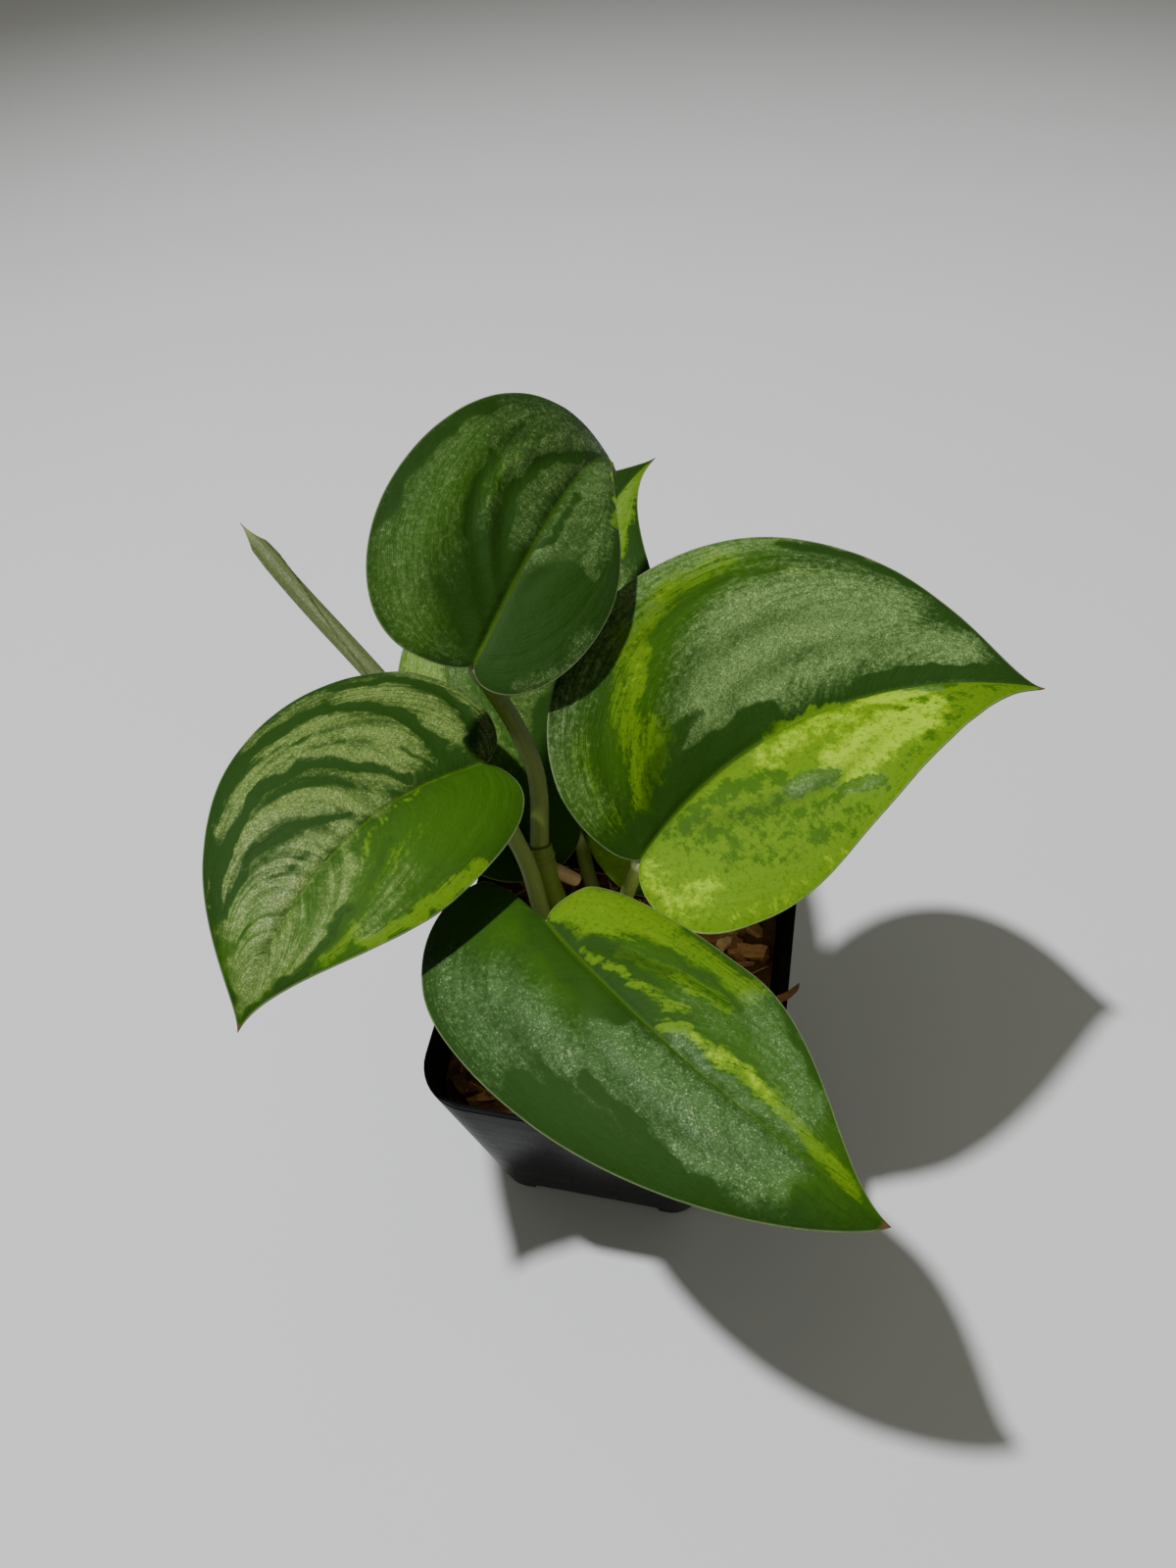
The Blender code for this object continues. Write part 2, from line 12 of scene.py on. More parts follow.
import bmesh
import bpy
import numpy as np
from bpy.props import FloatProperty, FloatVectorProperty, IntProperty, PointerProperty
from mathutils import Matrix, Vector, noise


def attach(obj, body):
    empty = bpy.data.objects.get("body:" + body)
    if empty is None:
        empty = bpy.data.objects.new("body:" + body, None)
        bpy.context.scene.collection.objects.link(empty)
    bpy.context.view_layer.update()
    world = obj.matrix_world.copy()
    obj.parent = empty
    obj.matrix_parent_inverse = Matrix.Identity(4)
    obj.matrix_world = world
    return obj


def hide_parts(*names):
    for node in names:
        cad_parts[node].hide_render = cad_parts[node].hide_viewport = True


bl_info = {
    "name": "Satin Pothos",
    "version": (1, 0, 0),
    "blender": (4, 5, 0),
    "location": "3D View > Sidebar > Pothos",
    "description": "Builds a satin pothos in its nursery pot, piece by piece",
    "category": "Add Mesh",
}

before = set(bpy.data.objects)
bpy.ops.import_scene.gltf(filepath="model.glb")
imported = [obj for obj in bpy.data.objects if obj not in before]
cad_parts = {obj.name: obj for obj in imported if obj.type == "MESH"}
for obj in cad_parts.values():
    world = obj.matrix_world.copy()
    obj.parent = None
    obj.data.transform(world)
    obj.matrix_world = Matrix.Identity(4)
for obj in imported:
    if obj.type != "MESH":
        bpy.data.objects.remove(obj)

MM = 0.001
BODY = "root"
LEFT, RIGHT, BOTH = 0, 1, 2

# Pot and mix, as in the solids
POT_HEIGHT = 75.0
RIM_HALF = 40.0
FOOT_HALF = 27.5
RIM_CORNER_RADIUS = 11.0
FOOT_CORNER_RADIUS = 8.0
POT_FLOOR = 1.6
NOTCH_WIDTH = 34.0
NOTCH_DEPTH = 9.0
NOTCH_HEIGHT = 3.5
DRAIN_DIAMETER = 6.0
DRAIN_INSET = 4.8
MIX_TOP = 64.0
CHIP_LENGTH = (7.0, 15.0)
CHIP_WIDTH = (3.0, 5.5)
CHIP_THICKNESS = (2.0, 3.4)
CHIP_TOP_LIMIT = 71.0
GAP = 0.3


@dataclass
class Blade:
    """One leaf blade. Pairs give the left and the right half, seen from above with the tip ahead."""
    length: float
    half_width: tuple
    widest_at: tuple
    lobe_depth: tuple
    lobe_centre: tuple
    shoulder: tuple
    tip_reach: tuple
    tip_flare: tuple
    base: tuple
    heading: float
    rise: float
    droop: float
    tip_curl: float
    swerve: float
    fold: float
    arch: tuple
    roll: float
    twist: float


BLADES = {
    "top": Blade(
        length=90.0, half_width=(32.0, 21.0), widest_at=(25.5, 23.5), lobe_depth=(4.0, 4.0),
        lobe_centre=(0.39, 0.26), shoulder=(0.55, 0.29), tip_reach=(0.16, 0.47), tip_flare=(0.09, 0.03),
        base=(-36.0, 24.0, 149.0), heading=74.5, rise=25.5, droop=35.0, tip_curl=60.0, swerve=8.0,
        fold=16.0, arch=(18.0, 34.0), roll=22.5, twist=9.0),
    "left": Blade(
        length=81.0, half_width=(27.5, 41.5), widest_at=(32.5, 17.0), lobe_depth=(3.5, 9.5),
        lobe_centre=(0.28, 0.40), shoulder=(0.54, 0.43), tip_reach=(0.21, 0.18), tip_flare=(0.07, 0.08),
        base=(-35.0, 20.5, 121.5), heading=-135.5, rise=20.5, droop=51.0, tip_curl=-2.0, swerve=42.0,
        fold=10.0, arch=(24.0, 24.0), roll=-0.5, twist=1.0),
    "right": Blade(
        length=104.5, half_width=(45.5, 33.0), widest_at=(46.0, 27.0), lobe_depth=(3.0, 8.5),
        lobe_centre=(0.20, 0.39), shoulder=(0.53, 0.67), tip_reach=(0.24, 0.13), tip_flare=(0.07, 0.09),
        base=(3.0, 4.0, 117.5), heading=66.0, rise=17.5, droop=19.0, tip_curl=1.0, swerve=-66.0,
        fold=24.0, arch=(19.0, 19.0), roll=21.0, twist=-28.5),
    "front": Blade(
        length=88.0, half_width=(22.0, 30.0), widest_at=(38.0, 9.5), lobe_depth=(3.5, 18.5),
        lobe_centre=(0.49, 0.20), shoulder=(0.48, 0.56), tip_reach=(0.28, 0.03), tip_flare=(0.07, 0.15),
        base=(-13.5, -14.5, 117.0), heading=-47.5, rise=14.5, droop=20.0, tip_curl=9.0, swerve=23.5,
        fold=11.0, arch=(33.0, 33.0), roll=-2.5, twist=15.0),
    "back": Blade(
        length=118.0, half_width=(42.0, 31.5), widest_at=(35.5, 28.5), lobe_depth=(9.5, 20.5),
        lobe_centre=(0.40, 0.43), shoulder=(0.45, 0.44), tip_reach=(0.27, 0.28), tip_flare=(0.08, 0.05),
        base=(-15.5, 32.0, 87.0), heading=117.5, rise=31.0, droop=23.5, tip_curl=9.0, swerve=-54.5,
        fold=12.5, arch=(26.5, 29.0), roll=5.0, twist=1.0),
}

# Stem and stalks, as in the solids
STEM_ROUTE = [(-7.2, 7.9, 50.0), (-9.6, 9.3, 62.0), (-11.6, 10.1, 70.0), (-16.3, 10.8, 80.0),
              (-19.4, 13.6, 87.0), (-22.2, 17.2, 94.0), (-22.9, 18.6, 96.5)]
STEM_RADII = [2.9, 2.9, 2.9, 3.2, 2.8, 3.3, 3.0]
LOWER_NODE, UPPER_NODE = 3, 5
ROOT_NUB_LENGTH = 6.5
ROOT_NUB_RADIUS = 1.7
ROOT_NUB_DROP = 3.5
ROOT_NUB_HEADING = (0.93, -0.10, -0.20)
STALK_RADII = {"top": (2.3, 1.9), "left": (2.2, 1.8), "right": (1.9, 1.7), "front": (1.9, 1.7),
               "back": (2.0, 1.8)}
STALK_ROUTES = {
    "top": [(-23.3, 21.5, 101.5), (-23.9, 24.6, 108.0), (-25.6, 27.2, 116.0), (-30.0, 28.8, 127.5),
            (-34.6, 28.2, 139.0)],
    "left": [(-18.7, 4.7, 82.0), (-20.1, 6.3, 88.0), (-23.6, 10.8, 98.0), (-27.9, 13.8, 107.0),
             (-32.9, 18.0, 115.2)],
    "right": [(-5.3, 14.9, 50.0), (-4.2, 14.5, 62.0), (-3.4, 14.1, 70.0), (-1.6, 12.8, 85.0),
              (0.6, 9.6, 101.0), (2.1, 6.4, 111.5)],
    "front": [(-1.0, 3.5, 50.0), (-2.2, 2.0, 62.0), (-3.2, 0.4, 70.0), (-6.2, -5.0, 88.0),
              (-11.0, -12.4, 106.0)],
    "back": [(-6.6, 20.0, 50.0), (-8.2, 21.4, 62.0), (-9.8, 23.2, 69.0), (-14.0, 29.6, 77.0)],
}
RADIAL_START = {"left": (LOWER_NODE, (-0.42, -0.90, 0.08)), "rolled": (UPPER_NODE, (-0.86, 0.50, -0.04))}
ROLLED_ROUTE = [(-28.4, 20.4, 92.2), (-34.5, 24.6, 97.0), (-48.0, 33.4, 106.0), (-70.5, 47.7, 117.5),
                (-92.0, 61.9, 126.6), (-109.6, 74.2, 135.0)]
ROLLED_RADII = [1.9, 1.9, 2.0, 2.1, 2.6, 2.0, 0.5]


@dataclass
class Stroke:
    """One marking on a blade: a smooth line of flat points (ahead, left) with its half width and strength."""
    kind: str
    points: list
    width: float
    strength: float = 1.0
    half: int = BOTH


MARKINGS = {
    "left": [
        Stroke("fresh", [(0, 8), (14, 12), (34, 14), (56, 12)], 13.0, 0.9, LEFT),
        Stroke("silver", [(-2, -3), (-7, -10), (-8, -20), (-4, -29), (2, -36)], 2.4, 0.8),
        Stroke("silver", [(3, -10), (2.5, -17), (5.5, -26), (11.5, -33)], 4.0, 1.15),
        Stroke("silver", [(14, -9), (15, -18), (21, -26), (30, -29)], 4.6, 1.0),
        Stroke("silver", [(20, -6), (24, -16), (33, -25), (47, -24)], 4.0, 1.0),
        Stroke("silver", [(28, -3), (33, -10), (42, -16), (58, -14)], 3.8, 1.0),
        Stroke("silver", [(36, -2), (50, -7), (62, -8)], 3.6, 1.0),
        Stroke("silver", [(46, -2), (60, -3), (74, -1)], 3.2, 1.1),
        Stroke("silver", [(8, -36), (20, -37.5), (32, -36)], 2.0, 0.7),
        Stroke("silver", [(36, 16), (52, 17)], 3.4, 0.5),
        Stroke("silver", [(42, 5), (56, 8), (68, 5)], 3.8, 0.85),
        Stroke("silver", [(56, 2), (73, 1.5)], 2.6, 1.0),
        Stroke("deep", [(1, -6), (-3, -12), (-3, -22), (3, -32), (14, -38)], 1.1, 1.0),
        Stroke("deep", [(7, -3), (8, -15), (11, -25), (20, -33), (33, -34), (46, -28)], 1.5, 1.0),
        Stroke("deep", [(18, -3), (23, -11), (29, -20), (38, -22.5), (50, -20), (62, -13)], 1.4, 1.0),
        Stroke("deep", [(33, -3), (40, -10), (50, -13), (62, -11)], 0.9, 0.9),
        Stroke("deep", [(44, -4), (53, -6.5), (64, -6.5)], 1.0, 0.45),
        Stroke("deep", [(12, -4), (14, -12)], 0.9, 0.7),
        Stroke("deep", [(26, -6), (31, -14), (40, -19)], 1.0, 0.45),
        Stroke("deep", [(24, -27), (36, -29.5), (48, -25)], 1.0, 0.5),
        Stroke("deep", [(48, -27), (62, -17), (76, -4)], 1.8, 0.9),
        Stroke("deep", [(50, 11), (66, 9), (78, 1)], 1.4, 0.7),
        Stroke("deep", [(32, 8), (46, 13), (60, 12)], 1.2, 0.45),
        Stroke("lime", [(22, 25.6), (38, 25.4)], 1.8, 0.85),
        Stroke("lime", [(38, 25), (48, 22), (56, 18)], 1.6, 0.9),
        Stroke("lime", [(53, 15), (62, 13)], 1.8, 0.6),
        Stroke("lime", [(10, 0.6), (26, 1.8), (44, 8)], 1.0, 0.5, LEFT),
        Stroke("lime", [(24, 10), (50, 14)], 1.6, 0.36),
        Stroke("lime", [(60, 9), (74, 3)], 1.0, 0.4),
        Stroke("fresh", [(60, -8), (78, -2), (76, 3)], 5.0, 0.9),
    ],
    "right": [
        Stroke("fresh", [(2, 18), (20, 22), (36, 36), (52, 42)], 9.0, 0.9, LEFT),
        Stroke("silver", [(34, 12), (46, 22), (58, 25), (72, 18)], 9.0, 0.95),
        Stroke("silver", [(42, 15), (54, 19), (64, 16)], 6.0, 1.30),
        Stroke("silver", [(36, 9), (55, 10), (75, 10), (86, 7)], 5.6, 0.85),
        Stroke("silver", [(2, 14), (4, 24), (16, 33), (34, 40)], 5.0, 0.5),
        Stroke("silver", [(30, 42), (45, 43.5), (60, 40), (76, 31)], 3.4, 0.7),
        Stroke("lime", [(10, 7), (14, 14), (18, 20), (24, 28), (33, 36), (50, 41)], 3.4, 0.62, LEFT),
        Stroke("lime", [(15, 10), (21, 15)], 4.0, 0.52, LEFT),
        Stroke("yellow", [(24, 26), (32, 34), (42, 39), (52, 41)], 3.0, 0.45, LEFT),
        Stroke("lime", [(3, 8), (6, 20), (10, 26)], 2.2, 0.40, LEFT),
        Stroke("lime", [(24, 24), (31, 33), (41, 39)], 1.8, 0.85, LEFT),
        Stroke("lime", [(52, 35), (66, 30)], 2.4, 0.36, LEFT),
        Stroke("deep", [(0, 2), (20, 3.5), (42, 4)], 3.4, 1.0, LEFT),
        Stroke("deep", [(6, 4), (18, 10), (30, 12)], 2.0, 0.55, LEFT),
        Stroke("deep", [(60, 40), (70, 34), (82, 23), (94, 9)], 1.6, 0.6, LEFT),
        Stroke("deep", [(66, 3), (80, 3), (98, 2)], 1.6, 0.9, LEFT),
        Stroke("deep", [(43, 23), (49, 17)], 1.0, 0.3, LEFT),
        Stroke("deep", [(28, 30), (44, 35), (58, 34)], 1.2, 0.45, LEFT),
        Stroke("lime", [(-3, -9), (30, -16), (60, -14), (90, -5)], 26.0, 1.5, RIGHT),
        Stroke("lime", [(40, 0.2), (57, 0.2)], 1.4, 0.9, LEFT),
        Stroke("fresh", [(-3, -9), (30, -16), (60, -14), (90, -5)], 26.0, 1.5, RIGHT),
        Stroke("patch", [(9, -2), (20, -4), (30, -7), (34, -10)], 2.6, 0.62, RIGHT),
        Stroke("patch", [(10, -6), (18, -12), (30, -14)], 4.4, 0.50, RIGHT),
        Stroke("patch", [(12, -14), (22, -22), (38, -27)], 4.6, 0.40, RIGHT),
        Stroke("patch", [(35, -14), (44, -17)], 2.6, 0.85, RIGHT),
        Stroke("patch", [(45, -22.5), (53, -24)], 1.9, 0.8, RIGHT),
        Stroke("patch", [(28, -20), (44, -22)], 1.6, 0.55, RIGHT),
        Stroke("patch", [(28, -26), (46, -28.5)], 1.8, 0.58, RIGHT),
        Stroke("patch", [(74, -1.2), (84, -1)], 1.6, 0.8, RIGHT),
        Stroke("patch", [(70, -7), (84, -7), (94, -2)], 2.4, 0.42, RIGHT),
        Stroke("patch", [(50, -27), (66, -22), (82, -12)], 1.6, 0.40, RIGHT),
        Stroke("silver", [(36, -15), (44, -17)], 3.0, 0.55, RIGHT),
        Stroke("silver", [(46, -23), (53, -24)], 2.0, 0.45, RIGHT),
        Stroke("silver", [(72, -1.5), (80, -1.5)], 1.6, 0.6, RIGHT),
        Stroke("yellow", [(-2, -4), (-4, -12), (2, -14)], 4.2, 0.72, RIGHT),
        Stroke("yellow", [(0, -22), (14, -30), (32, -32)], 3.0, 0.45, RIGHT),
        Stroke("yellow", [(36, -4), (58, -4)], 4.4, 0.75, RIGHT),
        Stroke("yellow", [(64, -1.5), (75, -3)], 2.8, 1.25, RIGHT),
        Stroke("yellow", [(48, -15), (60, -12), (76, -9)], 4.6, 1.05, RIGHT),
        Stroke("yellow", [(50, -20), (62, -16), (72, -14)], 4.0, 1.1, RIGHT),
    ],
    "front": [
        Stroke("fresh", [(4, 14), (36, 14), (64, 6), (84, 1)], 10.0, 0.8, LEFT),
        Stroke("lime", [(0, 8), (7, 11), (14, 17)], 6.4, 1.0, LEFT),
        Stroke("lime", [(0, 3), (8, 5)], 2.2, 0.8, LEFT),
        Stroke("lime", [(18, 15), (30, 18), (44, 18)], 3.2, 0.62, LEFT),
        Stroke("lime", [(18, 7), (30, 11), (42, 13)], 1.8, 0.60, LEFT),
        Stroke("lime", [(12, 2.4), (24, 4), (36, 7)], 1.3, 0.60, LEFT),
        Stroke("lime", [(36, 2.5), (50, 5), (62, 4.5), (80, 1)], 1.6, 0.72, LEFT),
        Stroke("yellow", [(42, 3), (53, 5.5), (62, 4.5)], 1.6, 0.7, LEFT),
        Stroke("yellow", [(-2, 7), (8, 16)], 6.0, 0.25, LEFT),
        Stroke("silver", [(46, 16), (58, 12), (66, 7)], 4.6, 0.7, LEFT),
        Stroke("silver", [(38, 1.6), (50, 1.6), (67, 2)], 1.8, 0.7, LEFT),
        Stroke("silver", [(34, 9), (48, 10)], 3.0, 0.35, LEFT),
        Stroke("deep", [(4, 2.4), (14, 6), (28, 10)], 1.5, 0.6, LEFT),
        Stroke("deep", [(18, 12.6), (32, 14.6), (44, 15)], 1.0, 0.5, LEFT),
        Stroke("deep", [(16, 5), (30, 7)], 0.9, 0.5, LEFT),
        Stroke("deep", [(50, 19), (66, 13), (80, 5)], 1.4, 0.5, LEFT),
        Stroke("silver", [(0, -22), (10, -23), (20, -23)], 5.4, 0.60, RIGHT),
        Stroke("silver", [(8, -16), (24, -15), (40, -11)], 5.4, 0.72, RIGHT),
        Stroke("silver", [(32, -8), (48, -6.5), (66, -4)], 6.4, 0.95, RIGHT),
        Stroke("silver", [(54, -12), (66, -8)], 3.8, 0.95, RIGHT),
        Stroke("deep", [(-2, -3), (14, -4), (28, -2.5)], 3.0, 0.55, RIGHT),
        Stroke("deep", [(26, -24.5), (44, -22), (60, -16)], 2.4, 0.85, RIGHT),
        Stroke("deep", [(34, -16), (46, -14.5), (56, -16)], 1.2, 0.75, RIGHT),
        Stroke("deep", [(24, -18.5), (34, -20)], 0.8, 0.6, RIGHT),
        Stroke("deep", [(74, -6), (86, -1)], 3.0, 0.6, RIGHT),
        Stroke("deep", [(-15, -5), (-9, -12)], 5.0, 0.5, RIGHT),
        Stroke("fresh", [(70, -5), (86, -1)], 3.4, 0.8, RIGHT),
        Stroke("fresh", [(-12, -12), (0, -8), (20, -6)], 8.0, 0.6, RIGHT),
    ],
    "top": [
        Stroke("silver", [(3, 16), (18, 23), (40, 22), (64, 12)], 8.0, 0.50),
        Stroke("silver", [(0, 7), (3, 17)], 4.0, 0.42),
        Stroke("silver", [(22, 12), (34, 12)], 2.6, 0.40),
        Stroke("silver", [(30, 4), (44, 5), (60, 2)], 4.0, 0.62),
        Stroke("silver", [(44, 12), (62, 7), (80, 2)], 5.0, 0.60),
        Stroke("silver", [(28, -4), (45, -5), (64, -3)], 4.6, 0.72, RIGHT),
        Stroke("silver", [(30, -12.5), (46, -10)], 3.0, 0.66, RIGHT),
        Stroke("silver", [(0, -10), (6, -17), (16, -19)], 2.2, 0.5, RIGHT),
        Stroke("deep", [(3, 1), (8, 8), (11, 14)], 1.6, 0.6),
        Stroke("deep", [(11, 3), (20, 9), (28, 15), (42, 17)], 1.3, 0.85),
        Stroke("deep", [(18, 3), (26, 6), (36, 9.4), (48, 8), (60, 3), (72, -1)], 1.3, 0.85),
        Stroke("deep", [(24, 1), (36, -2.5), (48, -3)], 1.1, 0.6),
        Stroke("deep", [(4, -4), (16, -8), (24, -10)], 6.0, 0.8, RIGHT),
        Stroke("deep", [(14, 30), (36, 29), (52, 24)], 1.4, 0.7),
        Stroke("lime", [(46, -13), (60, -7.5), (72, -2.5)], 0.8, 0.8, RIGHT),
        Stroke("yellow", [(50, -11.5), (66, -4.5)], 0.8, 0.8, RIGHT),
        Stroke("fresh", [(2, 14), (12, 22), (40, 20)], 7.0, 0.75),
        Stroke("lime", [(-1, 12), (4, 22)], 3.0, 0.22),
        Stroke("lime", [(34, 14), (56, 10)], 3.0, 0.24),
    ],
    "back": [
        Stroke("fresh", [(20, 24), (44, 34), (70, 26)], 12.0, 0.8, LEFT),
        Stroke("silver", [(20, 24), (38, 34), (56, 34)], 9.0, 0.85, LEFT),
        Stroke("silver", [(30, 8), (60, 12), (90, 6)], 8.0, 0.6, LEFT),
        Stroke("lime", [(30, 32), (48, 39)], 4.6, 0.8, LEFT),
        Stroke("lime", [(80, -7), (96, -3), (112, 0)], 3.2, 0.8, RIGHT),
        Stroke("lime", [(-14, -8), (-6, -5)], 5.0, 1.0, RIGHT),
        Stroke("lime", [(-12, -14), (0, -22), (12, -26)], 5.0, 0.7, RIGHT),
        Stroke("lime", [(10, -22), (40, -22), (66, -15)], 2.4, 0.6, RIGHT),
        Stroke("silver", [(-16, -6), (-8, -6)], 3.0, 0.6, RIGHT),
        Stroke("silver", [(10, -12), (40, -14), (70, -9)], 6.0, 0.6, RIGHT),
        Stroke("silver", [(84, -5), (104, -1)], 3.0, 0.6, RIGHT),
        Stroke("deep", [(0, 4), (30, 3)], 5.0, 0.8, LEFT),
        Stroke("deep", [(4, -4), (30, -6)], 3.0, 0.7, RIGHT),
    ],
}

# Share of a stroke's half width over which its edge fades
SOFTNESS = {"lime": 0.6, "silver": 1.0, "deep": 0.6, "patch": 0.6, "yellow": 0.9, "fresh": 1.0}

# Weakest and strongest silver between the veins of each blade, and its colour
SATIN = {
    "top": (0.88, 1.05, (0.120, 0.210, 0.060)),
    "left": (0.55, 1.15, (0.185, 0.270, 0.062)),
    "right": (0.80, 1.12, (0.180, 0.295, 0.092)),
    "front": (0.90, 1.05, (0.085, 0.175, 0.050)),
    "back": (0.80, 1.05, (0.150, 0.245, 0.050)),
}

# Sunken arcs on the upper face: points, half width and depth
GROOVES = {
    "top": [([(2, 0.5), (7, 7), (10, 17)], 2.6, 0.7),
            ([(10, 1), (20, 9), (28, 14.5), (42, 17), (58, 12)], 2.4, 0.8),
            ([(16, 1), (26, 6), (36, 9.4), (48, 8), (62, 2)], 2.4, 0.8),
            ([(14, -1), (30, -6), (48, -7)], 2.2, 0.4)],
    "left": [([(6, -1), (8, -15), (11, -25), (20, -33), (33, -34)], 1.8, 0.35),
             ([(16, -1), (23, -11), (29, -20), (38, -22.5), (50, -20), (62, -13)], 1.8, 0.35),
             ([(30, -1), (40, -10), (50, -13), (62, -11)], 1.6, 0.3),
             ([(2, -2), (-3, -12), (-3, -22), (3, -32)], 1.6, 0.3)],
    "right": [([(8, 1), (26, 16), (46, 22), (70, 18)], 2.4, 0.25),
              ([(22, 1), (40, 11), (60, 13), (80, 8)], 2.2, 0.25),
              ([(3, 1), (10, 20), (26, 33), (46, 38)], 2.4, 0.25),
              ([(8, -1), (24, -12), (44, -18), (66, -13)], 2.2, 0.2)],
    "front": [([(2, -1), (10, -14), (26, -20), (46, -16)], 2.2, 0.3),
              ([(14, -1), (28, -9), (48, -11), (64, -7)], 2.2, 0.3),
              ([(8, 1), (22, 9), (36, 14), (52, 12)], 2.0, 0.3)],
    "back": [([(6, 1), (20, 20), (44, 28), (70, 20)], 2.4, 0.4),
             ([(6, -1), (22, -14), (44, -20), (66, -14)], 2.2, 0.4)],
}


class PotSettings(bpy.types.PropertyGroup):
    wall: FloatProperty(name="Wall", description="Thickness of the pot's wall", default=0.0015, unit="LENGTH")
    edge_round: FloatProperty(name="Edge round", description="Rounding of the rim and of the notches' edges",
                              default=0.0005, unit="LENGTH")
    corner_steps: IntProperty(name="Corner steps", description="Steps in each rounded corner", default=10, min=3)
    black: FloatVectorProperty(name="Plastic", description="Colour of the pot's plastic",
                               default=(0.006, 0.006, 0.007), subtype="COLOR")


class MixSettings(bpy.types.PropertyGroup):
    chips: IntProperty(name="Large chips", description="Large bark chips, in the places of the solid's",
                       default=84, min=1)
    small_chips: IntProperty(name="Small chips", description="Smaller bark chips between them", default=170)
    fibres: IntProperty(name="Fibres", description="Loose coir fibres on the surface", default=110)
    seed: IntProperty(name="Seed", description="Seed of the chips' places", default=23)
    dark: FloatVectorProperty(name="Dark bark", description="Colour of the darkest chips",
                              default=(0.035, 0.017, 0.009), subtype="COLOR")
    tan: FloatVectorProperty(name="Tan bark", description="Colour of the palest chips",
                             default=(0.68, 0.44, 0.25), subtype="COLOR")


class StemSettings(bpy.types.PropertyGroup):
    sides: IntProperty(name="Sides", description="Sides of the stem and the stalks", default=24, min=8)
    stalk: FloatVectorProperty(name="Stalk", description="Colour of the leaf stalks",
                               default=(0.130, 0.180, 0.036), subtype="COLOR")
    stem: FloatVectorProperty(name="Stem", description="Colour of the stem",
                              default=(0.080, 0.120, 0.014), subtype="COLOR")
    nub: FloatVectorProperty(name="Root nub", description="Colour of the root nub",
                             default=(0.42, 0.27, 0.17), subtype="COLOR")


class LeafSettings(bpy.types.PropertyGroup):
    rows: IntProperty(name="Rows", description="Cross lines of the blade's mesh", default=150, min=20)
    columns: IntProperty(name="Columns", description="Columns of each half of the mesh", default=56, min=8)
    thickness: FloatProperty(name="Thickness", description="Thickness of a blade", default=0.0008, unit="LENGTH")
    midrib_depth: FloatProperty(name="Midrib depth", description="Depth of the groove over the midrib",
                                default=0.0005, unit="LENGTH")
    rib_height: FloatProperty(name="Rib height", description="Height of the midrib under the blade",
                              default=0.0012, unit="LENGTH")
    deep_green: FloatVectorProperty(name="Deep green", description="Darkest green", subtype="COLOR",
                                    default=(0.012, 0.046, 0.001))
    green: FloatVectorProperty(name="Green", description="Fresh green", subtype="COLOR",
                               default=(0.031, 0.096, 0.001))
    lime: FloatVectorProperty(name="Lime", description="Yellow-green of the bright parts", subtype="COLOR",
                              default=(0.102, 0.208, 0.001))
    yellow: FloatVectorProperty(name="Yellow", description="Yellowest of the bright parts", subtype="COLOR",
                                default=(0.300, 0.500, 0.006))
    # Painted highlight: the glint colour paints tiny reflections into the satin marks and as scattered specks
    glint: FloatVectorProperty(name="Glint", description="Tiny bright grains in the satin marks",
                               subtype="COLOR", default=(0.360, 0.470, 0.220))
    edge: FloatVectorProperty(name="Margin", description="Pale line along the margin", subtype="COLOR",
                              default=(0.230, 0.290, 0.150))
    under: FloatVectorProperty(name="Underside", description="Matt pale green of the undersides",
                               subtype="COLOR", default=(0.085, 0.155, 0.030))


class StageSettings(bpy.types.PropertyGroup):
    lens: FloatProperty(name="Lens", description="Focal length for a 36 mm high frame", default=27.05)
    camera_place: FloatVectorProperty(name="Camera", description="Place of the camera", subtype="TRANSLATION",
                                      default=(0.0188, -0.1399, 0.3220))
    camera_tilt: FloatProperty(name="Camera tilt", description="Tilt of the camera up from straight down",
                               default=math.radians(38.9), subtype="ANGLE")
    camera_heading: FloatProperty(name="Camera heading", description="Turn of the camera about the vertical",
                                  default=math.radians(10.7), subtype="ANGLE")
    key_from: FloatVectorProperty(name="Key from", description="Direction towards the key light",
                                  subtype="DIRECTION", default=(-0.425, 0.0, 1.0))
    key_aim: FloatVectorProperty(name="Key aim", description="Floor point that the key light is aimed at",
                                 subtype="TRANSLATION", default=(0.14, -0.10, 0.0))
    key_distance: FloatProperty(name="Key distance", description="Distance of the key light", default=3.5,
                                unit="LENGTH")
    key_radius: FloatProperty(name="Key radius", description="Radius of the key light", default=0.08,
                              unit="LENGTH")
    key_cone: FloatProperty(name="Key cone", description="Full angle of the key light's soft cone",
                            default=math.radians(38), subtype="ANGLE")
    key_power: FloatProperty(name="Key power", description="Power of the key light in watts", default=650.0)
    glow_place: FloatVectorProperty(name="Glow", description="Place of the faint light among the stalks",
                                    subtype="TRANSLATION", default=(0.012, -0.012, 0.112))
    glow_power: FloatProperty(name="Glow power", description="Power of the light among the stalks in watts",
                              default=0.028)
    fill: FloatProperty(name="Fill", description="Strength of the even studio light", default=0.22)
    floor: FloatVectorProperty(name="Floor", description="Colour of the floor", subtype="COLOR",
                               default=(0.61, 0.63, 0.63))


# Shared mesh helpers

def deselect_all():
    if bpy.context.mode != "OBJECT":
        bpy.ops.object.mode_set(mode="OBJECT")
    bpy.ops.object.select_all(action="DESELECT")


def place_piece(piece, node):
    """The piece stands for its solid, whose object is hidden, and moves with the plant's one body."""
    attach(piece, BODY)
    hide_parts(node)


